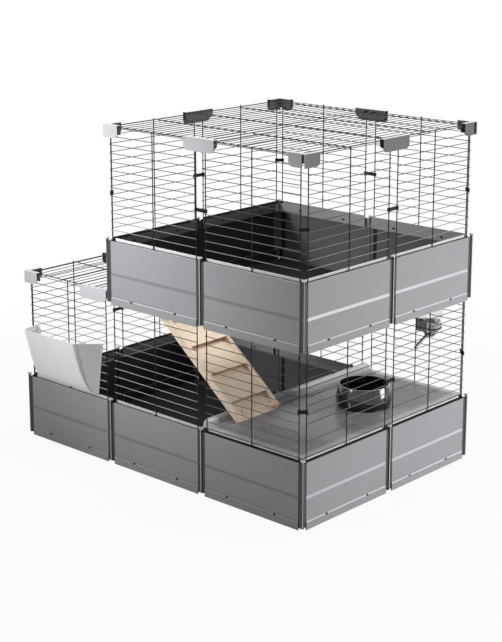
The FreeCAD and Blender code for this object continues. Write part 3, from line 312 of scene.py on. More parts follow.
class Finish:
    """A material that is being made: its nodes, its place on the object and its shader."""

    def __init__(self, name, **constants):
        self.material = bpy.data.materials.new(name)
        self.material.use_nodes = True
        self.tree = self.material.node_tree
        self.tree.nodes.clear()
        self.shader = self.tree.nodes.new("ShaderNodeBsdfPrincipled")
        self.output = self.tree.nodes.new("ShaderNodeOutputMaterial")
        self.tree.links.new(self.shader.outputs[0], self.output.inputs["Surface"])
        self.place = self.node("ShaderNodeTexCoord", {}, {}, "Object")
        self.set(**constants)

    def node(self, kind, settings, sockets, output=0):
        """One node: its settings are made first, then its sockets are set or linked."""
        made = self.tree.nodes.new(kind)
        for name, value in settings.items():
            setattr(made, name, value)
        for name, value in sockets.items():
            feed(self.tree, made.inputs[name], value)
        return Shade(self.tree, made.outputs[output])

    def set(self, **values):
        """Sets or links the shader's own sockets, named with underscores for spaces."""
        for name, value in values.items():
            feed(self.tree, self.shader.inputs[name.replace("_", " ")], value)

    def axes(self, place=None):
        """The three coordinates of a place as shades."""
        split = self.tree.nodes.new("ShaderNodeSeparateXYZ")
        feed(self.tree, split.inputs[0], place or self.place)
        return [Shade(self.tree, socket) for socket in split.outputs]

    def facing(self):
        """The three parts of the direction that a face points in."""
        return self.axes(self.node("ShaderNodeTexCoord", {}, {}, "Normal"))

    def noise(self, scale, detail, stretch=(1.0, 1.0, 1.0)):
        """Noise in the object's coordinates, about 0.5."""
        place = self.node("ShaderNodeMapping", {}, {"Vector": self.place, "Scale": stretch})
        return self.node("ShaderNodeTexNoise", {}, {
            "Vector": place, "Scale": scale, "Detail": detail, "Roughness": 0.55})

    def mix(self, share, first, second):
        """Two colours mixed by a share."""
        made = self.tree.nodes.new("ShaderNodeMix")
        made.data_type = "RGBA"
        feed(self.tree, made.inputs[0], share)
        feed(self.tree, made.inputs[6], first)
        feed(self.tree, made.inputs[7], second)
        return Shade(self.tree, made.outputs[2])

    def emboss(self, height, distance, strength):
        """Bump from a height, linked to the shader's normal."""
        self.set(Normal=self.node("ShaderNodeBump", {}, {
            "Height": height, "Distance": distance, "Strength": strength}))


def seen_rays(tree):
    """One for rays of the camera, of mirrors and of clear pieces, nought for all others."""
    path = tree.nodes.new("ShaderNodeLightPath")
    camera, glossy, through = (Shade(tree, path.outputs[name]) for name in (
        "Is Camera Ray", "Is Glossy Ray", "Is Transmission Ray"))
    return camera.larger(glossy).larger(through)


def shaded(colour, factor):
    """A colour made darker or lighter by a factor."""
    return tuple(min(1.0, channel * factor) for channel in colour[:3])


class WallPlace:
    """Where a point lies on the walls of its storey, as shades of a finish."""

    def __init__(self, finish, change=STOREY_CHANGE):
        x, y, z = finish.axes()
        self.upper = z > change
        self.height = z - self.upper * LEVEL_PITCH
        middle = self.upper * (LOWER_RIGHT + UPPER_LEFT) / 2
        half = LOWER_RIGHT - self.upper * (MODULE / 2)
        self.inside = (abs(x - middle) < half - INNER_START) * (abs(y) < HALF_DEPTH - INNER_START)
        self.off_x = x.off_grid(LOWER_LEFT, MODULE)
        self.off_y = y.off_grid(-HALF_DEPTH, MODULE)
        self.out_x = (x - middle > half - POST_REACH) - (x - middle < POST_REACH - half)
        self.out_y = (y > HALF_DEPTH - POST_REACH) - (y < POST_REACH - HALF_DEPTH)
        self.rear = y > HALF_DEPTH - LIP_REACH
        self.left = x - middle < LIP_REACH - half
        self.by_platform = (x > PLATFORM_LEFT) * (1 - self.upper)

    def between_panels(self):
        """One on the necks that lead from the panels to a post."""
        return (abs(self.off_x) < PANEL_GAP) * (abs(self.off_y) < PANEL_GAP)

    def on_side(self):
        """One on the left and right walls, nought on the front and the rear."""
        return (abs(self.off_x) < PANEL_HALF) * (abs(self.off_y) > PANEL_GAP)

    def on_ridge(self, half_width):
        """One on a post's outermost line, whichever way the post faces."""
        across = abs(self.off_x * self.out_y - self.off_y * self.out_x)
        sides = abs(self.out_x) + abs(self.out_y)
        outwards = self.off_x * self.out_x + self.off_y * self.out_y > 0.0
        return (across < half_width * sides.math("SQRT", sides)) * outwards

    def on_slot(self):
        """One on the slots along a panel's inner strip."""
        along = abs(abs(self.off_x) - SLOT_PLACE) < SLOT_HALF_LENGTH
        along = along.larger(abs(abs(self.off_y) - SLOT_PLACE) < SLOT_HALF_LENGTH)
        return along * self.inside * (abs(self.height - SLOT_LEVEL) < SLOT_HALF_HEIGHT)

    def on_upright(self):
        """One where a grille's upright stands behind a row."""
        front = abs(abs(self.off_x) - UPRIGHT_INSET) < UPRIGHT_HALF
        front = front.larger(abs(self.off_x) > MODULE / 2 - UPRIGHT_HALF)
        side = abs(abs(self.off_y) - UPRIGHT_INSET) < UPRIGHT_HALF
        side = side.larger(abs(self.off_y) > MODULE / 2 - UPRIGHT_HALF)
        front = front * (abs(self.off_y) < GRILLE_DEPTH)
        return front.larger(side * (abs(self.off_x) < GRILLE_DEPTH))


def panel_finish():
    """Satin moulded grey with a smooth band; painted highlights on the side walls' band and on the skirt's top
    edge, painted light and shade on the lips, and painted shade on the front and rear walls' band, under the
    skirt edge, in the joints and over the inner face.
    """
    finish = Finish("panel_grey", Specular_IOR_Level=0.3)
    tone = tuple(colours().panel)
    # near-black painted shade: in the slots, on the left walls' lips, on the lips by the half floor and beside
    # the rear joints
    black = shaded(colours().inner_shade, 0.3)
    wall = WallPlace(finish)
    height = wall.height
    outside = 1 - wall.inside
    side = wall.on_side()
    # painted shade over the inner face below the strip
    inner_shade = wall.inside * (height < INNER_SHADE_TOP)
    strip = wall.inside * height.between(INNER_SHADE_TOP, LIP_LOW)
    painted_lip = wall.inside * (height > LIP_LOW)
    # the lips by the half floor get painted shade
    line = wall.by_platform * wall.rear.larger(height < LIP_LOW + LINE_HEIGHT)
    band = height.between(BAND_LOW, BAND_HIGH) * outside
    edge = height.between(SKIRT_TOP - SKIRT_ROUND, SKIRT_EDGE) * outside
    under_edge_shade = height.between(SKIRT_EDGE, SKIRT_EDGE + UNDER_EDGE_SHADE_HEIGHT) * outside
    shadow = wall.rear * wall.off_x.between(PANEL_GAP, PANEL_GAP + SHADOW_WIDTH)
    crease = height.between(INNER_SHADE_TOP - CREASE_DROP, INNER_SHADE_TOP + CREASE_RISE)
    crease = crease * wall.left * wall.inside * (1 - wall.upper)
    cloud = finish.noise(5.0, 2.0)
    speck = finish.noise(700.0, 2.0)
    grain = finish.noise(230.0, 2.0)
    skin = finish.mix(cloud, shaded(tone, 0.95), shaded(tone, 1.05))
    skin = finish.mix(speck * 0.6, skin, shaded(tone, 0.84))
    skin = finish.mix(grain.share(0.5, 0.3), skin, shaded(tone, 0.8))
    # painted shade on the band of the front and rear walls, painted highlight on the side walls' band
    skin = finish.mix(band, skin, finish.mix(side, shaded(tone, 0.66), shaded(tone, 1.55)))
    # painted highlight on the skirt's top edge, stronger in the upper storey and strongest on the side walls
    edge_highlight = finish.mix(wall.upper, shaded(tone, 1.08), shaded(tone, 1.4))
    skin = finish.mix(edge, skin, finish.mix(side, edge_highlight, shaded(tone, 1.7)))
    # painted shade line under the skirt's top edge, on the front and rear walls
    skin = finish.mix(under_edge_shade * (1 - side), skin, shaded(tone, 0.5))
    # painted shade in the joints between panels and posts, darker inside
    neck = finish.mix(wall.inside, colours().gap, shaded(tone, 0.3))
    skin = finish.mix(wall.between_panels(), skin, neck)
    # painted shade on the inner strip under the lips, lighter on the rear wall
    skin = finish.mix(strip, skin, finish.mix(wall.rear, shaded(tone, 0.22), shaded(tone, 0.7)))
    # lips: painted highlight, painted shade on the rear and left walls and by the half floor
    far_lip = finish.mix(wall.rear, colours().painted_lip, shaded(tone, 0.7))
    far_lip = finish.mix(wall.left, far_lip, black)
    skin = finish.mix(painted_lip, skin, finish.mix(line, far_lip, black))
    # painted shade over the inner face: dark on the left and front walls, lighter on the rear wall, with a
    # painted shadow beside the rear joints
    inner = finish.mix(wall.rear, colours().inner_shade, shaded(tone, 0.3))
    inner = finish.mix(speck * 0.5, inner, shaded(colours().inner_shade, 0.75))
    inner = finish.mix(shadow, inner, black)
    skin = finish.mix(inner_shade, skin, inner)
    # a paler painted line of light along the step at the top of the inner shade, on the lower left wall
    skin = finish.mix(crease, skin, shaded(tone, 0.62))
    # painted shade in the slots along the inner strip
    finish.set(Base_Color=finish.mix(wall.on_slot(), skin, black))
    finish.set(Roughness=0.5 + 0.1 * speck - 0.26 * band)
    finish.emboss(speck * (1 - band), 0.12 * MM, 0.5)
    return finish.material


def post_finish():
    """Joint posts, drawn lengthwise: painted shade on their flanks, paler on corner posts and on the rear
    wall's inner side, and a painted highlight on the ridge and the head.
    """
    finish = Finish("post_grey", Specular_IOR_Level=0.3)
    wall = WallPlace(finish)
    streak = finish.noise(420.0, 2.0, stretch=(1.0, 1.0, 0.02))
    tone = tuple(colours().post)
    # painted shade on the flanks beside the ridge, paler on corner posts and inside the rear wall
    groove = finish.mix(streak, shaded(colours().gap, 0.12), shaded(colours().gap, 0.3))
    corner = abs(wall.out_x * wall.out_y) * (1 - wall.on_ridge(RIDGE_SHADE_HALF))
    lit = corner.larger(wall.inside * wall.rear)
    groove = finish.mix(lit, groove, shaded(colours().gap, 1.6))
    # painted highlight on the outermost ridge and on the head
    ridge = finish.mix(streak, shaded(tone, 0.92), shaded(tone, 1.08))
    shown = wall.on_ridge(RIDGE_HALF).larger(wall.height > PANEL_TOP - POST_HEAD)
    finish.set(Base_Color=finish.mix(shown, groove, ridge))
    finish.set(Roughness=0.4 + 0.12 * streak)
    finish.emboss(streak, 0.05 * MM, 0.4)
    return finish.material


def bracket_finish():
    """Satin grey of the roof brackets, with painted shade on the faces along the side walls, on the inward
    faces and at their open ends.
    """
    finish = Finish("bracket_grey", Specular_IOR_Level=0.3)
    wall = WallPlace(finish)
    x, y, _ = finish.axes()
    face_x, face_y, _ = finish.facing()
    cloud = finish.noise(14.0, 2.0)
    tone = tuple(colours().bracket)
    along_x = abs(face_x) > 0.7
    along_y = abs(face_y) > 0.7
    side = along_x * (abs(wall.off_x) < BRACKET_HALF)
    ends = along_x * (abs(wall.off_x) > BRACKET_HALF)
    ends = ends.larger(along_y * (abs(wall.off_y) > BRACKET_HALF))
    inwards = face_x * x + face_y * y < -0.05
    skin = finish.mix(cloud, shaded(tone, 0.92), shaded(tone, 1.08))
    # painted shade on the side walls' faces, darker on inward faces and darkest at the open ends
    skin = finish.mix(side, skin, shaded(tone, 0.22))
    skin = finish.mix(inwards, skin, shaded(tone, 0.13))
    finish.set(Base_Color=finish.mix(ends, skin, shaded(tone, 0.04)))
    finish.set(Roughness=0.42 + 0.12 * cloud)
    return finish.material


def wire_finish():
    """Dark coating of the grilles with a slight orange peel; the rows carry a painted highlight near the panels
    that fades to a grey painted sheen further up.
    """
    finish = Finish("wire_black", Specular_IOR_Level=0.15)
    wall = WallPlace(finish, LEVEL_PITCH + 0.5 * PANEL_TOP)
    peel = finish.noise(900.0, 2.0)
    mottle = finish.noise(60.0, 3.0)
    tone = tuple(colours().wire)
    pale = tuple(colours().row_highlight)
    level = abs(wall.height.off_grid(PANEL_TOP, ROW_PITCH)) < ROW_HALF
    row = level * (wall.height > PANEL_TOP + ROW_PITCH / 2) * (1 - wall.on_upright())
    # painted highlight on the low rows, paler in the lower storey and darker by the half floor, fading up to
    # the painted sheen of the higher rows
    low_row = finish.mix(wall.upper, shaded(pale, 1.6), pale)
    low_row = finish.mix(wall.by_platform, low_row, shaded(pale, 0.6))
    fade_start = PANEL_TOP + ROW_PITCH + (1 - wall.upper) * (LOWER_PALE_ROWS * ROW_PITCH)
    fade = wall.height.share(fade_start, FADE_ROWS * ROW_PITCH)
    lit_row = finish.mix(fade, low_row, colours().row_sheen)
    lit_row = finish.mix(mottle * 0.3, lit_row, shaded(colours().row_sheen, 0.8))
    upright = finish.mix(mottle, shaded(tone, 0.75), shaded(tone, 1.25))
    finish.set(Base_Color=finish.mix(row, upright, lit_row))
    finish.set(Roughness=0.35 + 0.15 * peel)
    finish.emboss(peel, 0.06 * MM, 0.5)
    return finish.material


def lid_finish():
    """Dark coating of the roof lids, patched at random with the grey of the rows' painted sheen."""
    finish = Finish("lid_wire", Specular_IOR_Level=0.25)
    peel = finish.noise(900.0, 2.0)
    mottle = finish.noise(45.0, 3.0)
    finish.set(Base_Color=finish.mix(mottle, colours().wire, colours().row_sheen))
    finish.set(Roughness=0.3 + 0.15 * peel)
    finish.emboss(peel, 0.06 * MM, 0.5)
    return finish.material


def clip_finish():
    """Black moulded plastic of clips and cradles."""
    finish = Finish("clip_black", Specular_IOR_Level=0.15)
    speck = finish.noise(800.0, 2.0)
    tone = tuple(colours().clip)
    finish.set(Base_Color=finish.mix(speck, shaded(tone, 0.8), shaded(tone, 1.3)))
    finish.set(Roughness=0.5 + 0.15 * speck)
    finish.emboss(speck, 0.05 * MM, 0.4)
    return finish.material


def floor_sheet_finish():
    """Matt black sheet with an embossed grain and faint scuffs."""
    finish = Finish("floor_black", Specular_IOR_Level=0.15)
    grain = finish.node("ShaderNodeTexVoronoi", {"feature": "DISTANCE_TO_EDGE"}, {
        "Vector": finish.place, "Scale": 420.0}, "Distance")
    scuff = finish.noise(24.0, 5.0, stretch=(1.0, 6.0, 1.0))
    tone = tuple(colours().floor_sheet)
    finish.set(Base_Color=finish.mix(scuff, shaded(tone, 0.7), shaded(tone, 1.4)))
    finish.set(Roughness=0.5 + 0.2 * scuff)
    finish.emboss(grain, 0.2 * MM, 0.4)
    return finish.material


def joiner_finish():
    """Dark grey strips between the floor sheets, with faint scuffs."""
    finish = Finish("floor_joiner", Specular_IOR_Level=0.2)
    scuff = finish.noise(60.0, 4.0)
    tone = tuple(colours().joiner)
    finish.set(Base_Color=finish.mix(scuff, shaded(tone, 0.7), shaded(tone, 1.3)))
    finish.set(Roughness=0.4 + 0.2 * scuff)
    return finish.material


def platform_finish():
    """Glossy grey of the half floor, with painted shade between its ribs and on its underside, a painted
    highlight along its edges and on its raised rim, and dark pegs.
    """
    finish = Finish("platform_grey", Specular_IOR_Level=0.5, Coat_Roughness=0.06)
    x, y, z = finish.axes()
    low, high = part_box("platform")
    cloud = finish.noise(7.0, 2.0)
    scuff = finish.noise(90.0, 4.0, stretch=(1.0, 0.15, 1.0))
    tone = tuple(colours().platform)
    groove = z.between(PLATFORM_FACE - PLATFORM_ROUND, PLATFORM_FACE + RIB_FOOT)
    inner = x.between(low.x + PLATFORM_LIP_EDGE, high.x - PLATFORM_EDGE)
    inner = inner * (abs(y) < high.y - PLATFORM_EDGE)
    painted_lip = z > PLATFORM_FACE + PLATFORM_LIP
    skin = finish.mix(cloud, shaded(tone, 0.92), shaded(tone, 1.08))
    # painted shade between the ribs
    skin = finish.mix(groove * inner, skin, shaded(tone, 0.4))
    # painted highlight along the edges and on the raised rim
    skin = finish.mix(((1 - inner) * groove).larger(painted_lip), skin, shaded(tone, 1.35))
    # painted shade below the floor's face, and the dark pegs
    dark = (z < PLATFORM_FACE - PLATFORM_ROUND).larger(z > high.z - PEG_HEAD)
    finish.set(Base_Color=finish.mix(dark, skin, shaded(tone, 0.12)))
    finish.set(Roughness=0.16 + 0.16 * scuff, Coat_Weight=0.6 - 0.3 * scuff)
    finish.emboss(scuff, 0.04 * MM, 0.3)
    return finish.material


def feeder_finish():
    """Smooth white plastic with a soft gloss and painted shade round its rounded corners, set by which way the
    faces turn.
    """
    finish = Finish("feeder_white", Specular_IOR_Level=0.5)
    cloud = finish.noise(9.0, 2.0)
    speck = finish.noise(600.0, 2.0)
    tone = tuple(colours().feeder)
    turned = abs(finish.facing()[0])
    skin = finish.mix(cloud, shaded(tone, 0.97), shaded(tone, 1.02))
    # painted shade on faces turned partway to the side, round the rounded corners
    corner = turned.between(0.45, 0.86)
    finish.set(Base_Color=finish.mix(corner, skin, shaded(tone, 0.6)))
    finish.set(Roughness=0.28 + 0.1 * speck)
    finish.emboss(speck, 0.04 * MM, 0.3)
    return finish.material


def pine_finish(name, turn, shift, nose_width):
    """Bare pine: pale wood, darker late rings, fine pores along the board and a painted shadow line under each
    tread's nose.
    """
    finish = Finish(name, Specular_IOR_Level=0.35)
    place = finish.node("ShaderNodeMapping", {}, {
        "Vector": finish.place, "Rotation": turn, "Location": shift, "Scale": (1.0, 0.06, 1.0)})
    warp = finish.node("ShaderNodeTexNoise", {}, {"Vector": place, "Scale": 22.0, "Detail": 2.0})
    rings = finish.node("ShaderNodeTexWave", {"wave_type": "BANDS", "bands_direction": "X"}, {
        "Vector": place, "Scale": 46.0, "Distortion": 5.0, "Detail": 2.0, "Detail Scale": 1.5,
        "Phase Offset": warp * 6.0}, "Fac")
    pores = finish.node("ShaderNodeTexNoise", {}, {"Vector": place, "Scale": 900.0, "Detail": 2.0})
    pale = tuple(colours().pine)
    late = tuple(colours().pine_late)
    wood = finish.mix(rings * 0.22, pale, late)
    wood = finish.mix(pores * 0.08, wood, shaded(late, 0.85))
    x, _, z = finish.axes()
    along = (RAMP_FOOT.x - x) * math.cos(RAMP_SLOPE) + (z - RAMP_FOOT.z) * math.sin(RAMP_SLOPE)
    # painted shadow line under each tread's nose
    nose = abs(along.off_grid(FIRST_NOSE, TREAD_PITCH)) < nose_width / 2
    finish.set(Base_Color=finish.mix(nose, wood, shaded(late, 0.4)))
    finish.set(Roughness=0.55 + 0.2 * pores)
    finish.emboss(pores + rings * 0.5, 0.15 * MM, 0.5)
    return finish.material


def bowl_finish():
    """Black gloss with faint wipe marks and a painted highlight on its rim."""
    finish = Finish("bowl_black", Specular_IOR_Level=0.6, Coat_Roughness=0.08)
    height = finish.axes()[2]
    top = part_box("bowl")[1].z
    wipe = finish.noise(30.0, 4.0, stretch=(1.0, 1.0, 3.0))
    tone = tuple(colours().bowl)
    skin = finish.mix(wipe, shaded(tone, 0.8), shaded(tone, 1.4))
    # painted highlight on the rim, in the posts' highlight colour
    finish.set(Base_Color=finish.mix(height > top - BOWL_RIM, skin, colours().post))
    finish.set(Roughness=0.1 + 0.08 * wipe, Coat_Weight=0.4 + 0.2 * wipe)
    return finish.material


def bottle_finish():
    """Clear plastic, a little clouded."""
    finish = Finish("bottle_clear", Specular_IOR_Level=0.5, Transmission_Weight=0.96, IOR=1.38)
    cloud = finish.noise(20.0, 3.0)
    tone = tuple(colours().bottle)
    finish.set(Base_Color=finish.mix(cloud, tone, shaded(tone, 0.95)))
    finish.set(Roughness=0.02 + 0.05 * cloud)
    return finish.material


def cap_finish():
    """Grey moulded plastic of the bottle's cap, dark at its flange and pale above."""
    finish = Finish("cap_grey", Specular_IOR_Level=0.4)
    height = finish.axes()[2]
    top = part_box("bottle_cap")[1].z
    flange = height.between(top - CAP_FLANGE_LOW, top - CAP_FLANGE_HIGH)
    speck = finish.noise(700.0, 2.0)
    tone = tuple(colours().cap)
    skin = finish.mix(speck, shaded(tone, 0.88), shaded(tone, 1.12))
    skin = finish.mix(height > top - CAP_FLANGE_HIGH, skin, shaded(tone, 2.2))
    finish.set(Base_Color=finish.mix(flange, skin, shaded(tone, 0.12)))
    finish.set(Roughness=0.38 + 0.12 * speck)
    finish.emboss(speck, 0.05 * MM, 0.4)
    return finish.material


def steel_finish(name, level):
    """Bright drawn steel."""
    finish = Finish(name, Metallic=1.0)
    draw = finish.noise(500.0, 2.0, stretch=(1.0, 0.05, 0.05))
    tone = shaded(colours().steel, level)
    finish.set(Base_Color=finish.mix(draw, shaded(tone, 0.85), shaded(tone, 1.1)))
    finish.set(Roughness=0.2 + 0.15 * draw)
    return finish.material


def holder_finish():
    """Coated steel of the bottle's hanger."""
    finish = Finish("holder_black", Specular_IOR_Level=0.5)
    peel = finish.noise(800.0, 2.0)
    tone = tuple(colours().holder)
    finish.set(Base_Color=finish.mix(peel, shaded(tone, 0.8), shaded(tone, 1.25)))
    finish.set(Roughness=0.35 + 0.15 * peel)
    finish.emboss(peel, 0.05 * MM, 0.4)
    return finish.material


def dress(material, *slots):
    """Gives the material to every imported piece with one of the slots."""
    pieces = [NODES[node] for node, slot in SLOT_OF.items() if slot in slots]
    if not pieces:
        raise RuntimeError(f"no packed piece has the finish {slots}")
    for piece in pieces:
        cover(piece, material)


def cover(piece, material):
    """Makes the material a piece's only one."""
    piece.data.materials.clear()
    piece.data.materials.append(material)


def wall_places():
    """Each wall module: base height, middle on the post line and turn, where outwards is +Y unturned."""
    places = []
    for base, left in ((0.0, LOWER_LEFT), (LEVEL_PITCH, UPPER_LEFT)):
        columns = round((LOWER_RIGHT - left) / MODULE)
        for column in range(columns):
            x = left + (column + 0.5) * MODULE
            places.append((base, x, HALF_DEPTH, 0.0))
            places.append((base, x, -HALF_DEPTH, math.pi))
        for y in (-MODULE / 2, MODULE / 2):
            places.append((base, left, y, math.pi / 2))
            places.append((base, LOWER_RIGHT, y, -math.pi / 2))
    return places


def wall_points(local):
    """Points given on one wall module, repeated on all of them, with the turn of each."""
    points = []
    for base, x, y, turn in wall_places():
        spin = Matrix.Rotation(turn, 3, "Z")
        for point in local:
            points.append((spin @ Vector(point) + Vector((x, y, base)), turn))
    return points


class Pattern:
    """A Geometry Nodes tree that sets one small shape on every point of a mesh."""

    def __init__(self, name):
        self.tree = bpy.data.node_groups.new(name, "GeometryNodeTree")
        self.tree.is_modifier = True
        self.inputs = {}
        self.tree.interface.new_socket("Geometry", in_out="INPUT", socket_type="NodeSocketGeometry")
        self.tree.interface.new_socket("Geometry", in_out="OUTPUT", socket_type="NodeSocketGeometry")
        self.entry = self.tree.nodes.new("NodeGroupInput")

    def size(self, name, value, kind="NodeSocketFloat"):
        """A named input of the tree, with the value that it gets."""
        socket = self.tree.interface.new_socket(name, in_out="INPUT", socket_type=kind)
        self.inputs[socket.identifier] = value
        return next(out for out in self.entry.outputs if out.identifier == socket.identifier)

    def node(self, kind, settings, sockets):
        """One node of the tree, settings first."""
        made = self.tree.nodes.new(kind)
        for name, value in settings.items():
            setattr(made, name, value)
        for name, value in sockets.items():
            if isinstance(value, bpy.types.NodeSocket):
                self.tree.links.new(value, made.inputs[name])
            else:
                made.inputs[name].default_value = value
        return made

    def spread(self, shape, material):
        """Sets the shape on the points, turned by their facing, and closes the tree."""
        facing = self.node("GeometryNodeInputNamedAttribute", {"data_type": "FLOAT_VECTOR"}, {"Name": "facing"})
        instances = self.node("GeometryNodeInstanceOnPoints", {}, {
            "Points": self.entry.outputs[0], "Instance": shape, "Rotation": facing.outputs[0]})
        solid = self.node("GeometryNodeRealizeInstances", {}, {"Geometry": instances.outputs[0]})
        finish = self.size("Material", material, "NodeSocketMaterial")
        covered = self.node("GeometryNodeSetMaterial", {}, {
            "Geometry": solid.outputs[0], "Material": finish})
        leave = self.tree.nodes.new("NodeGroupOutput")
        self.tree.links.new(covered.outputs[0], leave.inputs[0])

    def make(self, name, points):
        """A plain mesh piece from points with their facing (an Euler turn each)."""
        seed = bpy.data.meshes.new(name + "_points")
        seed.from_pydata([tuple(point) for point, _ in points], [], [])
        turns = seed.attributes.new("facing", "FLOAT_VECTOR", "POINT")
        for row, (_, facing) in zip(turns.data, points):
            row.vector = facing
        carrier = bpy.data.objects.new(name + "_carrier", seed)
        bpy.context.scene.collection.objects.link(carrier)
        modifier = carrier.modifiers.new("pattern", "NODES")
        modifier.node_group = self.tree
        for identifier, value in self.inputs.items():
            modifier[identifier] = value
        graph = bpy.context.evaluated_depsgraph_get()
        mesh = bpy.data.meshes.new_from_object(carrier.evaluated_get(graph), depsgraph=graph)
        mesh.name = name
        carrier.modifiers.remove(modifier)
        bpy.data.objects.remove(carrier)
        bpy.data.meshes.remove(seed)
        if not mesh.polygons:
            raise RuntimeError(f"{name} came out empty")
        piece = bpy.data.objects.new(name, mesh)
        bpy.context.scene.collection.objects.link(piece)
        return piece


def facing_wall(points):
    """Wall points with an Euler turn that points a shape's Z outwards."""
    faced = []
    for point, turn in points:
        outwards = Matrix.Rotation(turn, 3, "Z") @ Matrix.Rotation(-math.pi / 2, 3, "X")
        faced.append((point, tuple(outwards.to_euler())))
    return faced


class CAGE_OT_stage(bpy.types.Operator):
    """Floor, backdrop, lamps and camera"""

    bl_idname = "cage.stage"
    bl_label = "Studio"

    def execute(self, context):
        """Makes the studio round the cage."""
        scene = context.scene
        scene.view_settings.view_transform = "Standard"
        self.surround(scene)
        self.ground(scene)
        self.lamps(scene)
        self.camera(scene)
        return {"FINISHED"}

    def surround(self, scene):
        """White to the camera and in reflections, a softer light to everything else."""
        world = bpy.data.worlds.new("studio")
        world.use_nodes = True
        tree = world.node_tree
        tree.nodes.clear()
        soft = tree.nodes.new("ShaderNodeBackground")
        soft.inputs["Strength"].default_value = scene.cage_stage.surround
        white = tree.nodes.new("ShaderNodeBackground")
        for background in (soft, white):
            background.inputs["Color"].default_value = (1.0, 1.0, 1.0, 1.0)
        mix = tree.nodes.new("ShaderNodeMixShader")
        out = tree.nodes.new("ShaderNodeOutputWorld")
        feed(tree, mix.inputs[0], seen_rays(tree))
        tree.links.new(soft.outputs[0], mix.inputs[1])
        tree.links.new(white.outputs[0], mix.inputs[2])
        tree.links.new(mix.outputs[0], out.inputs[0])
        scene.world = world

    def ground(self, scene):
        """Pale floor that shows white and keeps the cage's shadow."""
        mesh = bpy.data.meshes.new("studio_floor")
        reach = FLOOR_REACH
        corners = [(-reach, -reach, 0), (reach, -reach, 0), (reach, reach, 0), (-reach, reach, 0)]
        mesh.from_pydata(corners, [], [(0, 1, 2, 3)])
        floor = bpy.data.objects.new("studio_floor", mesh)
        floor.location.z = -FLOOR_DROP
        scene.collection.objects.link(floor)
        finish = Finish("studio_floor", Roughness=0.9, Specular_IOR_Level=0.1)
        cloud = finish.noise(0.8, 2.0)
        finish.set(Base_Color=finish.mix(cloud, (0.6, 0.6, 0.6), (0.55, 0.55, 0.55)))
        tree = finish.tree
        x, y, _ = finish.axes()
        away = (x * x + y * y).share(0.5, 3.0)
        glow = tree.nodes.new("ShaderNodeEmission")
        mix = tree.nodes.new("ShaderNodeMixShader")
        feed(tree, mix.inputs[0], seen_rays(tree) * (0.93 + 0.07 * away))
        tree.links.new(finish.shader.outputs[0], mix.inputs[1])
        tree.links.new(glow.outputs[0], mix.inputs[2])
        tree.links.new(mix.outputs[0], finish.output.inputs["Surface"])
        mesh.materials.append(finish.material)

    def lamps(self, scene):
        """Three soft lamps: power, side, spread, place and what each is aimed at."""
        stage = scene.cage_stage
        lamps = (("key_lamp", stage.key_power, 1.2, 90, (2.4, 1.5, 0.3), (0.54, 0.2, 0.05)),
                 ("fill_lamp", stage.fill_power, 0.5, 26, (-1.0, -3.2, 1.8), (-0.2, -0.36, 0.76)),
                 ("top_lamp", stage.top_power, 2.4, 180, (0.2, 0.1, 3.6), (0.1, 0.0, 0.5)))
        for name, power, side, spread, place, aim in lamps:
            data = bpy.data.lights.new(name, "AREA")
            data.energy = power
            data.size = side
            data.spread = math.radians(spread)
            lamp = bpy.data.objects.new(name, data)
            lamp.location = place
            lamp.rotation_mode = "QUATERNION"
            lamp.rotation_quaternion = (Vector(aim) - lamp.location).to_track_quat("-Z", "Y")
            scene.collection.objects.link(lamp)

    def camera(self, scene):
        """The photograph's viewpoint."""
        data = bpy.data.cameras.new("view")
        data.sensor_width = SENSOR_WIDTH
        data.lens = CAMERA_LENS
        data.shift_y = CAMERA_SHIFT
        camera = bpy.data.objects.new("view", data)
        camera.location = CAMERA_PLACE
        turn, tilt = math.radians(CAMERA_TURN), math.radians(CAMERA_TILT)
        camera.rotation_euler = Euler((math.pi / 2 - tilt, 0.0, turn))
        scene.collection.objects.link(camera)
        scene.camera = camera


class CAGE_OT_panels(bpy.types.Operator):
    """Wall panels with their moulding marks, joint posts and roof brackets"""

    bl_idname = "cage.panels"
    bl_label = "Panels, posts and brackets"

    def execute(self, context):
        """Finishes the moulded grey pieces."""
        panel = panel_finish()
        dress(panel, "panel_grey")
        dress(post_finish(), "post_grey")
        dress(bracket_finish(), "bracket_grey")
        pattern = Pattern("gate_marks")
        radius = pattern.size("Mark radius", sizes().gate_radius)
        height = pattern.size("Mark height", sizes().gate_height)
        mark = pattern.node("GeometryNodeMeshCylinder", {}, {
            "Vertices": 14, "Radius": radius, "Depth": height})
        pattern.spread(mark.outputs[0], panel)
        middle = (0.0, (PANEL_WALL - BAND_DEPTH) / 2, (BAND_LOW + BAND_HIGH) / 2)
        marks = pattern.make("gate_marks", facing_wall(wall_points([middle])))
        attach(marks, "cage")
        return {"FINISHED"}


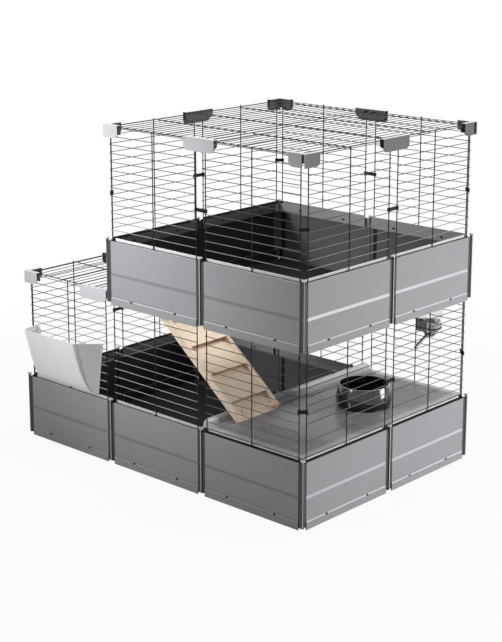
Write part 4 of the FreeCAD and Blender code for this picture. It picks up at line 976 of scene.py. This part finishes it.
class CAGE_OT_wires(bpy.types.Operator):
    """Grilles, lids, clips and cradles, with the welds where wires cross"""

    bl_idname = "cage.wires"
    bl_label = "Wires and clips"

    def execute(self, context):
        """Finishes the wires and adds their welds."""
        wire = wire_finish()
        dress(wire, "wire_black")
        lid = lid_finish()
        for name in ("lower_lid", "upper_lid_left", "upper_lid_right"):
            cover(NODES[name], lid)
        dress(clip_finish(), "clip_black")
        pattern = Pattern("welds")
        radius = pattern.size("Weld radius", sizes().weld_radius)
        height = pattern.size("Weld height", sizes().weld_height)
        ball = pattern.node("GeometryNodeMeshUVSphere", {}, {"Segments": 8, "Rings": 5, "Radius": 1.0})
        scale = pattern.node("ShaderNodeCombineXYZ", {}, {"X": radius, "Y": radius, "Z": height})
        nugget = pattern.node("GeometryNodeTransform", {}, {
            "Geometry": ball.outputs[0], "Scale": scale.outputs[0]})
        pattern.spread(nugget.outputs[0], wire)
        crossings = [(x, WELD_OUT, PANEL_TOP + row * ROW_PITCH)
                     for x in UPRIGHTS for row in range(1, ROW_COUNT + 1)]
        welds = pattern.make("grille_welds", facing_wall(wall_points(crossings)))
        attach(welds, "cage")
        return {"FINISHED"}


class CAGE_OT_floors(bpy.types.Operator):
    """Floor sheets, joiners and the half floor"""

    bl_idname = "cage.floors"
    bl_label = "Floors"

    def execute(self, context):
        """Finishes the floors."""
        dress(floor_sheet_finish(), "floor_black")
        cover(NODES["floor_joiners"], joiner_finish())
        dress(platform_finish(), "platform_grey")
        return {"FINISHED"}


class CAGE_OT_ramp(bpy.types.Operator):
    """Wooden ramp and its screws"""

    bl_idname = "cage.ramp"
    bl_label = "Ramp"

    def execute(self, context):
        """Finishes the ramp: grain across the treads and along the rails."""
        across = pine_finish("pine_treads", (0.0, RAMP_SLOPE, 0.0), (0.0, 0.0, 0.0), NOSE_WIDTH)
        cover(NODES["ramp_treads"], across)
        along = pine_finish("pine_rails", (0.0, RAMP_SLOPE, math.pi / 2), (0.3, 0.1, 0.0), 0.0)
        cover(NODES["ramp_rails"], along)
        cover(NODES["ramp_board"], along)
        cover(NODES["ramp_screws"], steel_finish("screw_steel", 0.4))
        return {"FINISHED"}


class CAGE_OT_feeder(bpy.types.Operator):
    """Hay feeder"""

    bl_idname = "cage.feeder"
    bl_label = "Hay feeder"

    def execute(self, context):
        """Finishes the hay feeder."""
        dress(feeder_finish(), "feeder_white")
        return {"FINISHED"}


class CAGE_OT_bowl(bpy.types.Operator):
    """Food bowl"""

    bl_idname = "cage.bowl"
    bl_label = "Bowl"

    def execute(self, context):
        """Finishes the bowl."""
        dress(bowl_finish(), "bowl_black")
        return {"FINISHED"}


class CAGE_OT_bottle(bpy.types.Operator):
    """Water bottle with its cap, spout and hanger"""

    bl_idname = "cage.bottle"
    bl_label = "Water bottle"

    def execute(self, context):
        """Finishes the bottle and adds the cap's grip ribs."""
        dress(bottle_finish(), "bottle_clear")
        cap = cap_finish()
        dress(cap, "cap_grey")
        dress(steel_finish("spout_steel", 0.3), "spout_steel")
        dress(holder_finish(), "holder_black")
        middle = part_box("bottle_cap")[1].z - CAP_RIB_MIDDLE
        pattern = Pattern("cap_ribs")
        width = pattern.size("Rib width", sizes().cap_rib_width)
        length = pattern.size("Rib length", sizes().cap_rib_length)
        size = pattern.node("ShaderNodeCombineXYZ", {}, {"X": width, "Y": width, "Z": length})
        rib = pattern.node("GeometryNodeMeshCube", {}, {"Size": size.outputs[0]})
        pattern.spread(rib.outputs[0], cap)
        points = []
        for index in range(sizes().cap_ribs):
            angle = 2 * math.pi * index / sizes().cap_ribs
            out = Vector((math.cos(angle) * CAP_RADIUS, math.sin(angle) * CAP_RADIUS, middle))
            points.append((BOTTLE_AXIS + out, (0.0, 0.0, angle)))
        ribs = pattern.make("cap_ribs", points)
        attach(ribs, "bottle")
        return {"FINISHED"}


STEPS = (CAGE_OT_stage, CAGE_OT_panels, CAGE_OT_wires, CAGE_OT_floors, CAGE_OT_ramp, CAGE_OT_feeder,
         CAGE_OT_bowl, CAGE_OT_bottle)


class CAGE_PT_sidebar(bpy.types.Panel):
    """Steps that dress the cage"""

    bl_idname = "CAGE_PT_sidebar"
    bl_label = "Small animal cage"
    bl_space_type = "VIEW_3D"
    bl_region_type = "UI"
    bl_category = "Cage"

    def draw(self, context):
        """Lists the steps in order."""
        for step in STEPS:
            self.layout.operator(step.bl_idname)


CLASSES = (CageColours, CageSizes, CageStage, *STEPS, CAGE_PT_sidebar)


def register():
    """Adds the classes and the scene's settings."""
    for cls in CLASSES:
        bpy.utils.register_class(cls)
    bpy.types.Scene.cage_colours = bpy.props.PointerProperty(type=CageColours)
    bpy.types.Scene.cage_sizes = bpy.props.PointerProperty(type=CageSizes)
    bpy.types.Scene.cage_stage = bpy.props.PointerProperty(type=CageStage)


def unregister():
    """Removes the settings and the classes."""
    del bpy.types.Scene.cage_stage
    del bpy.types.Scene.cage_sizes
    del bpy.types.Scene.cage_colours
    for cls in reversed(CLASSES):
        bpy.utils.unregister_class(cls)


def main():
    """Dresses the cage step by step."""
    register()
    bpy.ops.cage.stage()
    bpy.ops.cage.panels()
    bpy.ops.cage.wires()
    bpy.ops.cage.floors()
    bpy.ops.cage.ramp()
    bpy.ops.cage.feeder()
    bpy.ops.cage.bowl()
    bpy.ops.cage.bottle()


if __name__ == "__main__":
    main()
